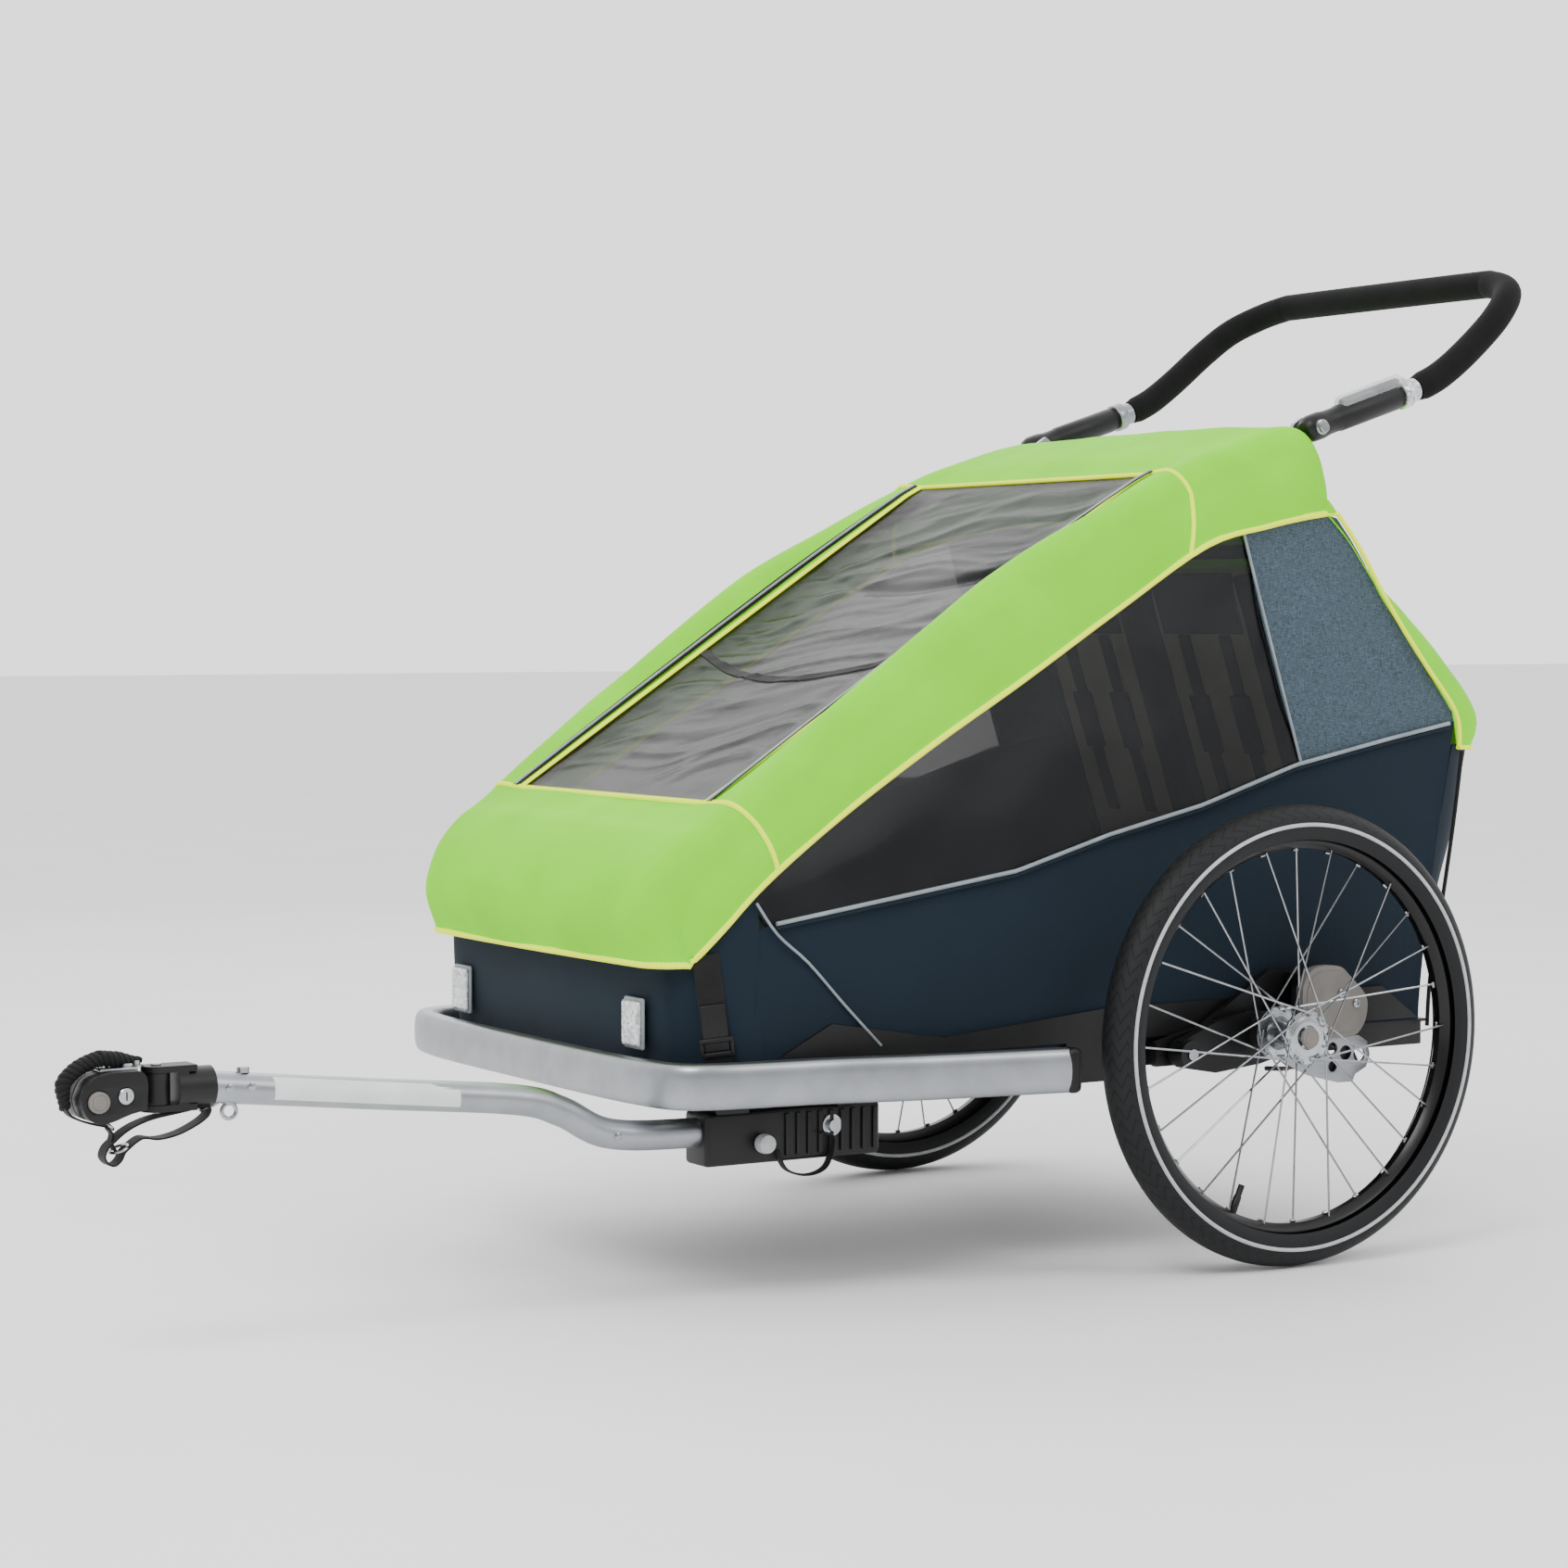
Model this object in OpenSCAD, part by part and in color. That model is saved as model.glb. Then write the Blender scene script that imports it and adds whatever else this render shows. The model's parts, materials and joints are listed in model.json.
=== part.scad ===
// Two-seat child bicycle trailer with a folding roof, a swinging push bar, sprung wheels
// and a drawbar with a cardan hitch.
// Millimetres. +Z is up, -Y is the way it travels and +X is its left side, where the drawbar is.
// Every module draws around the axle centre, with heights measured from the axle, and place()
// then moves it so that the origin is on the ground under the middle of the whole trailer.

/* [Overall] */
// Distance from the axle forward to the nose of the hitch
hitch_reach = 1310; // [1240:5:1500]
// Distance from the axle forward to the nose of the canopy
cabin_front = 714; // [660:2:780]
// Height of the top of the roof above the axle
roof_h = 646; // [560:2:700]
// Width across the two side walls
cabin_w = 580; // [520:2:680]
// Distance from a side wall out to the middle of its wheel
wheel_gap = 100; // [96:1:150]

/* [Wheels] */
// Outside diameter of the tyre
tyre_d = 490; // [440:2:560]
// Width of the tyre
tyre_w = 46; // [36:1:50]
// Diameter of the rim over its flanges
rim_d = 420; // [390:1:430]
// Depth of the rim
rim_depth = 11; // [8:1:18]
// Width of the rim
rim_w = 25; // [20:1:32]
// Spokes in one wheel, half on each flange
spoke_count = 28; // [20:4:36]
// Diameter of a spoke
spoke_d = 2.2; // [1.8:0.1:3]
// Diameter of the hub flanges
flange_d = 58; // [50:1:66]
// Diameter of the pull-out axle
axle_d = 12; // [10:0.5:14]
// Diameter of the axle's release button
button_d = 22; // [18:0.5:24]
// Travel of the axle's release button
button_travel = 4; // [2:0.5:4]

/* [Frame] */
// Width and height of the square floor tubes
rail_w = 25; // [20:1:28]
// Wall of the square floor tubes
tube_wall = 2; // [1.5:0.5:3]
// Diameter of the roof tubes
roof_tube_d = 22; // [18:1:24]
// Diameter of the seat uprights
upright_d = 20; // [16:1:22]
// Diameter of the folding hinge pins
pin_d = 10; // [8:0.5:12]
// Thickness of the hinge bracket plates
bracket_t = 6; // [4:0.5:8]
// Diameter of the swing arm pivot pins
arm_pin_d = 12; // [10:0.5:14]

/* [Cover] */
// Thickness of the fabric walls
wall_t = 4; // [3:0.5:5]
// Thickness of the roof skin
skin_t = 4; // [3:0.5:5]
// Thickness of the front screen
screen_t = 2; // [1.5:0.5:3]

/* [Bumper] */
// Height of the bumper rail
bumper_h = 46; // [36:1:54]
// Thickness of the bumper rail
bumper_t = 26; // [20:1:30]

/* [Push bar] */
// Diameter of the foam grip
grip_d = 32; // [26:1:36]
// Diameter of the two sleeves
sleeve_d = 28; // [24:1:30]
// Length of a sleeve from its pivot
sleeve_l = 152; // [120:2:170]

/* [Drawbar] */
// Outside diameter of the drawbar tube
drawbar_d = 30; // [25:1:34]
// Distance of the drawbar from the middle of the trailer
drawbar_x = 250; // [230:1:262]
// Diameter of the pin that locks the drawbar in its socket
lock_pin_d = 10; // [8:0.5:12]
// Travel that pulls the locking pin clear
lock_pin_travel = 55; // [45:1:70]
// Radius of the hitch's coupling bore
coupling_r = 10; // [8:0.5:11]
// Depth of the hitch's coupling bore
coupling_l = 25; // [20:1:27]
// Travel of the hitch's release button
release_travel = 3; // [2:0.5:4]

/* [Hidden] */
$fn = 48;
// Radial play of a pin or axle in the bore that turns on it
play = 0.05;
// Gap between pieces that only pass each other
gap = 3;
// The cabin outlines below are drawn for this reach and height, and stretch with the real ones
drawn_front = 714;
drawn_roof = 646;
ky = cabin_front / drawn_front;
kz = roof_h / drawn_roof;
function P(y, z) = [y * ky, z * kz];

half = cabin_w / 2;
wall_x = half - wall_t;
wheel_x = half + wheel_gap;
axle_z = tyre_d / 2;
floor_z = -10;
rail_x = wall_x - 2 - rail_w / 2;
roof_half = wall_x - gap - 1;
roof_x = roof_half - skin_t - 5 - 1.5 - roof_tube_d / 2 - 2.5;
upright_x = roof_x - roof_tube_d / 2 - 5 - upright_d / 2;

// Folding pivots, as [y, z]
front_pivot = P(-640, 55);
rear_pivot = P(252, 85);
upright_top = P(98, 534);
upright_l = norm(upright_top - rear_pivot);
upright_lean = atan2(rear_pivot[0] - upright_top[0], upright_top[1] - rear_pivot[1]);
boss_r = pin_d / 2 + 8;

// Roof outline from the bottom of the nose over the top to the rear lip
roof_line = [P(-700, 97), P(-714, 140), P(-700, 185), P(-665, 222), P(-629, 245), P(-536, 317), P(-415, 406),
    P(-292, 492), P(-165, 556), P(-54, 607), P(50, 640), P(94, 646), P(118, 624), P(131, 588), P(134, 556)];
// Lower edge of the canopy's side flap, from front to rear
hem_line = [P(-693, 95), P(-600, 172), P(-507, 240), P(-375, 324), P(-238, 402), P(-104, 487),
    P(-45, 518), P(34, 537)];
// Upper edge of the side wall, where the window starts
sill_line = [P(-600, 128), P(-583, 136), P(-290, 179), P(-172, 213), P(-49, 241), P(77, 281),
    P(207, 307), P(306, 325)];
// Rear edge of the side wall, from top to bottom
wall_rear = [P(293, 240), P(269, 155), P(256, 73)];
// Rear edge of the window, from bottom to top
window_rear = [P(300, 345), P(260, 391), P(208, 456), P(166, 517), P(134, 552)];
// Middle line of the rear cover and of the luggage pocket under it
cover_line = [P(141, 560), P(200, 502), P(268, 446), P(342, 384), P(386, 330), P(374, 296)];
pocket_line = [P(370, 292), P(345, 200), P(308, 100), P(282, 42)];
// Middle line of a roof tube
tube_line = [front_pivot, P(-628, 140), P(-606, 218), P(-524, 295), P(-403, 384), P(-282, 468),
    P(-158, 532), P(-50, 581), P(50, 612), P(106, 604)];
front_tie = P(-606, 215);
rear_tie = P(107, 602);

// Front screen, as the two ends of its slope and its half widths there
screen_low = P(-616, 248);
screen_high = P(-84, 590);
screen_low_x = 206;
screen_high_x = 222;

// Floor frame
rail_z = floor_z - rail_w;
rail_front = front_pivot[0] - rail_w / 2;
rail_rear = rear_pivot[0] + rail_w / 2;
seat_bar_y = -95;
floor_t = 3;
base_z = floor_z + floor_t;
nose_y = -cabin_front + 26;
wall_front = P(-600, 0)[0];

// Bumper, as the middle line of one half seen from above
bumper_z = -19;
bumper_end_y = -(tyre_d / 2 + 42);
bumper_half = [[0, nose_y - 22], [half - 58, nose_y - 16], [half - 4, nose_y - 4], [half + 18, nose_y + 30],
    [half + 35, wall_front + 56], [half + 60, wall_front + 155], [wheel_x - 13, bumper_end_y]];

// Suspension, outside each side wall
arm_pivot = [-95, -20];
susp_x = half + 10;
susp_t = 8;
arm_x = susp_x + susp_t + 10;
arm_t = 12;
arm_boss_x = arm_x - 6;
arm_boss_l = arm_t + 12;
pad_y = 80;
pad_z = 30;
shelf_z = 50;
cover_r = 40;
cover_x = arm_boss_x + arm_boss_l + gap + 1;
cover_t = 12;

// Wheel, along its own axis
inner_flange = -26;
outer_flange = 20;
flange_t = 4;
hub_end = 24;
pocket_depth = 7;

// Push bar pivot
bar_pivot = roof_line[12] + [2, 25];
bar_x = roof_x + 8;
bar_angle = 18;
sleeve_end = bar_pivot + sleeve_l * [cos(bar_angle), sin(bar_angle)];
bar_back = 335;
bar_rise = 178;
grip_route = [for (p = [[0, 0, 0], [1, 32, 15], [1, 68, 40], [-2, 112, 76], [-14, 144, 103], [-38, 168, 120],
    [-74, 180, 130], [-116, 183, 132]])
    [bar_x + p[0], sleeve_end[0] + p[1], sleeve_end[1] + p[2]]];
handle_reach = grip_route[7][1] + grip_d / 2;

// Drawbar
socket_z = -72;
socket_front = -650;
socket_rear = -445;
socket_w = 44;
socket_h = 54;
socket_drop = 33;
mount_lap = 13;
lock_pin_y = -587;
lock_pin_z = socket_z - drawbar_d / 2 + 3;
fork_y = -hitch_reach + 94;
fork_z = 11;
tube_end_y = fork_y + 31;
ear_r = 14;
ear_t = 6;
barrel_h = 29;
hitch_back = fork_y - ear_r - 4;
hitch_front = -hitch_reach + 14;
hitch_half_w = 26;
hitch_low = fork_z - 26;
hitch_high = fork_z + 20;
roll_pin_r = 7;
roll_pin_l = 24;
coupling_y = hitch_front + 21;
release_y = hitch_front + 16;
release_z = fork_z - 6;
release_r = 10;
key_y = hitch_back - 20;
key_r = 7.5;
braid_r = 6;

// Where the origin lies along the trailer, from the axle
axle_y = (hitch_reach - handle_reach) / 2;

// ---- helpers ----

module place() { translate([0, axle_y, axle_z]) children(); }

module both() {
    children();
    mirror([1, 0, 0]) children();
}

module right_side() { mirror([1, 0, 0]) children(); }

// A plate with an outline of [y, z] points, between two places along X
module side_plate(points, x0, x1) {
    translate([x0, 0, 0]) rotate([90, 0, 90]) linear_extrude(x1 - x0) polygon(points);
}

// A box given by its low and high corners
module block(low, high) { translate(low) cube(high - low); }

// A rod along X
module rod_x(x0, x1, at, r) { translate([x0, at[0], at[1]]) rotate([0, 90, 0]) cylinder(r = r, h = x1 - x0); }

function unit(v) = v / norm(v);
function reversed(v) = [for (i = [len(v) - 1:-1:0]) v[i]];
function left_normal(a, b) = unit([a[1] - b[1], b[0] - a[0]]);

// An open line of 2D points moved sideways by t, to its left where t is positive
function shifted(line, t) = [for (i = [0:len(line) - 1])
    let (last = len(line) - 1,
        n1 = left_normal(line[max(i - 1, 0)], line[max(i, 1)]),
        n2 = left_normal(line[min(i, last - 1)], line[min(i + 1, last)]))
    line[i] + t * (n1 + n2) / (1 + n1 * n2)];

// A closed strip of thickness t beside an open line
function strip(line, t) = concat(line, reversed(shifted(line, t)));

// A smooth curve through 3D points, with n steps between each two
function curve_point(a, b, c, d, u) = 0.5 * (2 * b + (c - a) * u + (2 * a - 5 * b + 4 * c - d) * pow(u, 2)
    + (3 * b - a - 3 * c + d) * pow(u, 3));
function smooth(p, n) = concat([for (i = [0:len(p) - 2]) for (j = [0:n - 1])
    curve_point(p[max(i - 1, 0)], p[i], p[i + 1], p[min(i + 2, len(p) - 1)], j / n)], [p[len(p) - 1]]);

// A bar of oval section swept along a route: wide is its size across the route and up, tall its size along up
module sweep(route, wide, tall, up, sides = 12) {
    count = len(route);
    rings = [for (i = [0:count - 1])
        let (t = unit(route[min(i + 1, count - 1)] - route[max(i - 1, 0)]),
            s = unit(cross(t, up)), n = cross(t, s))
        for (j = [0:sides - 1])
            route[i] + s * wide / 2 * cos(360 * j / sides) + n * tall / 2 * sin(360 * j / sides)];
    ends = [[for (j = [0:sides - 1]) j], [for (j = [sides - 1:-1:0]) (count - 1) * sides + j]];
    walls = [for (i = [0:count - 2]) for (j = [0:sides - 1])
        let (k = (j + 1) % sides) [i * sides + j, (i + 1) * sides + j, (i + 1) * sides + k, i * sides + k]];
    polyhedron(rings, concat(ends, walls), convexity = 6);
}

// A straight rod between two points
module rod(a, b, r, sides) {
    v = b - a;
    translate(a) rotate([0, acos(v[2] / norm(v)), atan2(v[1], v[0])]) cylinder(r = r, h = norm(v), $fn = sides);
}

function mirrored(route) = concat(route, [for (p = reversed(route)) [-p[0], p[1], p[2]]]);

// ---- floor and bumper ----

module side_rails() {
    inside = rail_w / 2 - tube_wall;
    color("#2A2C2E") both() difference() {
        block([rail_x - rail_w / 2, rail_front, rail_z], [rail_x + rail_w / 2, rail_rear, floor_z]);
        block([rail_x - inside, rail_front - 1, rail_z + tube_wall],
            [rail_x + inside, rail_rear + 1, floor_z - tube_wall]);
    }
}

module crossbars() {
    inner = rail_x - rail_w / 2;
    inside = rail_w / 2 - tube_wall;
    color("#2A2C2E") for (y = [front_pivot[0], seat_bar_y, rear_pivot[0]]) difference() {
        block([-inner, y - rail_w / 2, rail_z], [inner, y + rail_w / 2, floor_z]);
        block([-inner - 1, y - inside, rail_z + tube_wall], [inner + 1, y + inside, floor_z - tube_wall]);
    }
}

module floor_pan() {
    side = wall_x - 1;
    color("#1B1C1E") block([-side, wall_front - 36, floor_z], [side, rail_rear + 8, base_z]);
}

module front_bumper() {
    line = [for (p = reversed(bumper_half)) [p[0], p[1], bumper_z]];
    other = [for (i = [1:len(bumper_half) - 1]) [-bumper_half[i][0], bumper_half[i][1], bumper_z]];
    color("#B9BBC0") sweep(smooth(concat(line, other), 4), bumper_t, bumper_h, [0, 0, 1], 16);
}

module bumper_caps() {
    color("#141516") both() block([wheel_x - 13 - bumper_t / 2, bumper_end_y + 3.5, bumper_z - bumper_h / 2],
        [wheel_x - 13 + bumper_t / 2, bumper_end_y + 12, bumper_z + bumper_h / 2]);
}

module bumper_brackets() {
    low = rail_z + 2;
    high = floor_z - 2;
    side_y = wall_front + 120;
    color("#1B1C1E") both() {
        block([half - 160, nose_y - 6, low], [half - 120, rail_front, high]);
        // the side arm's end follows the slant of the bumper
        translate([0, 0, low]) linear_extrude(high - low) polygon([[rail_x + rail_w / 2, side_y - 15],
            [half + 33, side_y - 15], [half + 40.5, side_y + 15], [rail_x + rail_w / 2, side_y + 15]]);
    }
}

module front_reflectors() {
    color("#DDE1E4") both() block([177, nose_y - 6, 11], [215, nose_y, 59]);
}

module rear_reflectors() {
    back = rail_rear + 8;
    color("#B3141B") both() block([185, back, -2], [235, back + 6, 30]);
}

// ---- fabric tub ----

module side_panels() {
    outline = concat([[wall_front, base_z]], sill_line, wall_rear, [[P(256, 0)[0], base_z]]);
    color("#24394A") both() side_plate(outline, wall_x, half);
}

// The nose seen from above, as far back as rear
function nose_plan(w, front, rear) = [[w, rear], [w, front + 62], [w - 28, front],
    [28 - w, front], [-w, front + 62], [-w, rear]];

module front_panel() {
    top = P(0, 88)[1];
    color("#24394A") translate([0, 0, base_z]) linear_extrude(top - base_z) difference() {
        polygon(nose_plan(half, nose_y, wall_front - 2));
        polygon(nose_plan(wall_x, nose_y + wall_t, wall_front));
    }
}

module rear_wall() {
    side = roof_half - 2;
    color("#24394A") block([-side, rail_rear + 2, base_z], [side, rail_rear + 6, P(0, 40)[1]]);
}

module luggage_pocket() {
    color("#1F2F3C") side_plate(strip(pocket_line, wall_t), -roof_half, roof_half);
}

module side_windows() {
    outline = concat([for (p = sill_line) p + [0, 2]], window_rear, [for (p = reversed(hem_line)) p - [0, 2]]);
    usable = [for (p = outline) if (p[0] >= wall_front - 1) p];
    color("#1A1C24") both() side_plate(usable, wall_x - 2, wall_x - 0.5);
}

module rear_cover() {
    cheek = concat(cover_line, [P(314, 300), P(300, 345), P(262, 391), P(210, 456), P(168, 517)]);
    color("#A9DD4F") {
        side_plate(strip(cover_line, -skin_t), -roof_half, roof_half);
        both() side_plate(cheek, roof_half - skin_t, roof_half);
    }
}

module side_skirts() {
    outline = [[wall_front + 10, base_z + 3], P(-516, 33), P(-382, 11), P(-177, 30), P(200, 34),
        [rear_pivot[0], base_z + 3], [-150, base_z + 3], [-156, -47], [-222, -47], [-228, base_z + 3]];
    color("#141516") both() side_plate(outline, half + 0.5, half + 3);
}

module seat_cushions() {
    color("#3A3F45") both() block([8, -60, base_z], [upright_x - upright_d / 2, rear_pivot[0] - 20, 28]);
}

module hem_straps() {
    // turned to lie along the slanting corner of the front panel
    color("#141516") both() translate([half, nose_y + 62, 0]) rotate([0, 0, atan2(-28, 62)]) {
        block([0.5, -36, floor_z + 1], [3, -14, P(0, 110)[1]]);
        block([3, -40, 22], [11.5, -10, 66]);
    }
}

module rear_bungees() {
    x = half + 5;
    route = [[x, P(312, 0)[0], P(0, 292)[1]], [x, P(300, 0)[0], P(0, 210)[1]], [x, P(282, 0)[0], 110],
        [x, P(268, 0)[0], 40], [x, rail_rear, -14]];
    color("#141516") both() sweep(smooth(route, 3), 5, 5, [1, 0, 0], 8);
}

// ---- folding frame ----

module hinge_brackets() {
    color("#2A2C2E") {
        both() {
            // front: inside the roof tube
            block([roof_x - roof_tube_d / 2 - gap - bracket_t, front_pivot[0] - 20, base_z],
                [roof_x - roof_tube_d / 2 - gap, front_pivot[0] + 20, front_pivot[1] + 18]);
            // rear: outside the upright
            block([upright_x + upright_d / 2 + gap, rear_pivot[0] - 16, base_z],
                [upright_x + upright_d / 2 + gap + bracket_t, rear_pivot[0] + 14, rear_pivot[1] + 16]);
            // ears that carry the brake pedal
            block([62, rail_rear, -31], [66, rail_rear + 19, -13]);
        }
    }
}

module hinge_pins() {
    front_in = roof_x - roof_tube_d / 2 - gap - bracket_t;
    rear_out = upright_x + upright_d / 2 + gap + bracket_t;
    color("#B9BBC0") {
        both() {
            rod_x(front_in, roof_x + roof_tube_d / 2 + gap, front_pivot, pin_d / 2);
            rod_x(upright_x - upright_d / 2 - gap, rear_out, rear_pivot, pin_d / 2);
            rod_x(susp_x, arm_boss_x + arm_boss_l + 2, arm_pivot, arm_pin_d / 2);
            rod_x(44, 66, [rail_rear + 11, -22], 4);
        }
        translate([drawbar_x, fork_y, fork_z - barrel_h / 2 - ear_t - 2])
            cylinder(r = 5, h = barrel_h + 2 * ear_t + 4);
    }
}

module roof_tubes() {
    // the front tie butts against the two tubes, and the rear tie against the handle brackets
    tie_half_l = roof_x - roof_tube_d / 2;
    route = smooth([for (p = tube_line) [roof_x, p[0], p[1]]], 2);
    color("#2A2C2E") {
        both() difference() {
            union() {
                sweep(route, roof_tube_d, roof_tube_d, [1, 0, 0], 12);
                rod_x(roof_x - roof_tube_d / 2 - 1, roof_x + roof_tube_d / 2 + 1, front_pivot, boss_r);
            }
            rod_x(roof_x - roof_tube_d, roof_x + roof_tube_d, front_pivot, pin_d / 2 + play);
        }
        rod_x(-tie_half_l, tie_half_l, front_tie, 9);
        rod_x(bracket_t + 0.4 - tie_half_l, tie_half_l - bracket_t - 0.4, rear_tie, 9);
    }
}

module canopy_prism(line, bottom, w, front) {
    intersection() {
        side_plate(concat(line, bottom), -w, w);
        translate([0, 0, -50]) linear_extrude(roof_h + 100)
            polygon(nose_plan(w, front, roof_line[14][0] + 20));
    }
}

module canopy() {
    under = shifted(roof_line, -skin_t);
    last = len(under) - 1;
    lip = roof_line[13];
    color("#A9DD4F") difference() {
        canopy_prism(roof_line, reversed(hem_line), roof_half, -cabin_front);
        canopy_prism(under, [[under[last][0], 0], [under[0][0], 0]], roof_half - skin_t, skin_t - cabin_front);
        translate([0, 0, screen_low[1] - 60]) linear_extrude(roof_h) polygon([
            [screen_low_x, screen_low[0]], [screen_high_x, screen_high[0]],
            [-screen_high_x, screen_high[0]], [-screen_low_x, screen_low[0]]]);
        both() block([roof_x - roof_tube_d / 2 - bracket_t - 4, lip[0] - 52, lip[1] + 2],
            [bar_x - sleeve_d / 2 + 1, lip[0] + 20, lip[1] + 90]);
    }
}

module front_screen() {
    slope = [screen_low + [1, 0], screen_high - [1, 0]];
    color("#4A4850") intersection() {
        side_plate(strip(slope, -screen_t), -screen_high_x, screen_high_x);
        translate([0, 0, 0]) linear_extrude(roof_h) polygon([
            [screen_low_x - 1, screen_low[0]], [screen_high_x - 1, screen_high[0]],
            [1 - screen_high_x, screen_high[0]], [1 - screen_low_x, screen_low[0]]]);
    }
}

module handle_brackets() {
    x1 = roof_x - roof_tube_d / 2 - 0.2;
    root = tube_line[9];
    color("#B9BBC0") both() {
        side_plate([root + [-28, -6], root + [-22, 8], bar_pivot + [-11, 5], bar_pivot + [0, 12],
            bar_pivot + [11, 4], bar_pivot + [9, -8], root + [8, -6]], x1 - bracket_t, x1);
        rod_x(x1 - bracket_t, bar_x + 6, bar_pivot, pin_d / 2);
    }
}

// Draws in the plane of the uprights, with their foot at the rear pivot and their length along Z
module on_upright() { translate([0, rear_pivot[0], rear_pivot[1]]) rotate([upright_lean, 0, 0]) children(); }

module seat_uprights() {
    color("#2A2C2E") difference() {
        on_upright() {
            both() {
                translate([upright_x, 0, pin_d]) cylinder(d = upright_d, h = upright_l - pin_d);
                rod_x(upright_x - upright_d / 2 - 1, upright_x + upright_d / 2 + 1, [0, 0], boss_r);
            }
            for (z = [60, upright_l - 20]) rod_x(2 - upright_x, upright_x - 2, [0, z], 8);
        }
        both() rod_x(upright_x - upright_d, upright_x + upright_d, rear_pivot, pin_d / 2 + play);
    }
}

module seat_backs() {
    color("#7B7168") on_upright() both()
        block([8, -48, 75], [upright_x - upright_d / 2 - 4, -12, upright_l - 20]);
}

// ---- push bar ----

module bar_sleeves() {
    color("#141516") both() difference() {
        union() {
            rod_x(bar_x - sleeve_d / 2, bar_x + sleeve_d / 2, bar_pivot, sleeve_d / 2);
            rod([bar_x, bar_pivot[0], bar_pivot[1]], [bar_x, sleeve_end[0], sleeve_end[1]], sleeve_d / 2, 48);
        }
        rod_x(bar_x - sleeve_d, bar_x + 8, bar_pivot, pin_d / 2 + play);
    }
}

module bar_grip() {
    color("#1A1A1B") sweep(smooth(mirrored(grip_route), 3), grip_d, grip_d, [0, -0.5, 0.87], 12);
}

module bar_light() {
    r = sleeve_d / 2;
    along = [cos(bar_angle), sin(bar_angle)];
    side = [-sin(bar_angle), cos(bar_angle)];
    foot = bar_pivot + 45 * along + (r + 0.3) * side;
    tip = bar_pivot + (sleeve_l - 12) * along + (r + 0.3) * side;
    color("#DDE1E4") side_plate([foot, tip, tip + 9 * side, foot + 9 * side], bar_x - 10, bar_x + 10);
}

// ---- suspension and wheels, drawn on the left side ----

module suspension_brackets() {
    color("#2A2C2E") both() {
        side_plate([[-122, -34], [-122, -8], [-60, 6], [30, 62], [115, 62], [115, -6], [60, -34]],
            susp_x, susp_x + susp_t);
        block([rail_x + rail_w / 2, -118, -34], [susp_x, -72, -12]);
        block([rail_x + rail_w / 2, 40, -34], [susp_x, 86, -12]);
        block([susp_x + susp_t, pad_y - 30, shelf_z], [cover_x, pad_y + 30, shelf_z + 8]);
    }
}

module suspension_covers() {
    color("#8D8985") both() rod_x(cover_x, cover_x + cover_t, [pad_y, pad_z], cover_r);
}

module suspension_pad() {
    color("#3B3C3E") block([arm_x - 5, pad_y - 24, 15.5], [arm_x + arm_t + 5, pad_y + 24, shelf_z]);
}

module swing_arm() {
    outline = [[-104, -6], [-60, 12], [0, 21], [40, 15], [112, 15], [112, -6], [60, -22], [0, -36], [-60, -42],
        [-104, -34]];
    plate = [[8, 16], [40, 26], [70, 4], [118, -14], [132, -40], [96, -52], [40, -44], [8, -22]];
    color("#2A2C2E") difference() {
        union() {
            side_plate(outline, arm_x, arm_x + arm_t);
            rod_x(arm_boss_x, arm_boss_x + arm_boss_l, arm_pivot, arm_pin_d / 2 + 9);
            rod_x(arm_boss_x, arm_boss_x + arm_boss_l, [0, 0], axle_d / 2 + 14);
            side_plate(plate, arm_x + arm_t, arm_x + arm_t + 4);
        }
        rod_x(arm_boss_x - 1, arm_boss_x + arm_boss_l + 1, arm_pivot, arm_pin_d / 2 + play);
        rod_x(arm_boss_x - 1, arm_boss_x + arm_boss_l + 1, [0, 0], axle_d / 2 + play);
        for (p = [[62, -24], [94, -30]]) rod_x(arm_x + arm_t - 1, arm_x + arm_t + 5, p, 8);
    }
}

module axle() {
    color("#B9BBC0") rod_x(arm_boss_x - 2, wheel_x + hub_end - pocket_depth - 1, [0, 0], axle_d / 2);
}

// Draws a wheel part with its axis along Z, outboard side up
module on_wheel() { translate([wheel_x, 0, 0]) rotate([0, 90, 0]) children(); }

module tyre() {
    r = tyre_w / 2;
    color("#2B2B2C") on_wheel() rotate_extrude() difference() {
        translate([tyre_d / 2 - r, 0]) circle(r);
        translate([0, -tyre_w]) square([rim_d / 2, 2 * tyre_w]);
    }
}

module rim() {
    outer = rim_d / 2;
    color("#141516") on_wheel() rotate_extrude() polygon([[outer, -rim_w / 2], [outer, rim_w / 2],
        [outer - 4, rim_w / 2], [outer - rim_depth, rim_w / 5], [outer - rim_depth, -rim_w / 5],
        [outer - 4, -rim_w / 2]]);
}

module spokes() {
    per_flange = spoke_count / 2;
    inner = flange_d / 2 - 4;
    outer = rim_d / 2 - rim_depth + 1;
    step = 360 / per_flange;
    crossing = 3;
    color("#C8CACC") on_wheel() for (side = [0, 1]) for (i = [0:per_flange - 1]) {
        lead = i % 2 == 0 ? 1 : -1;
        foot = (i + side / 2) * step;
        tip = foot + lead * crossing * step;
        foot_z = (side == 0 ? inner_flange : outer_flange) + 1.8 * lead;
        tip_z = (side == 0 ? -3 : 3) + 0.8 * lead;
        rod([inner * cos(foot), inner * sin(foot), foot_z], [outer * cos(tip), outer * sin(tip), tip_z],
            spoke_d / 2, 6);
    }
}

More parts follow.
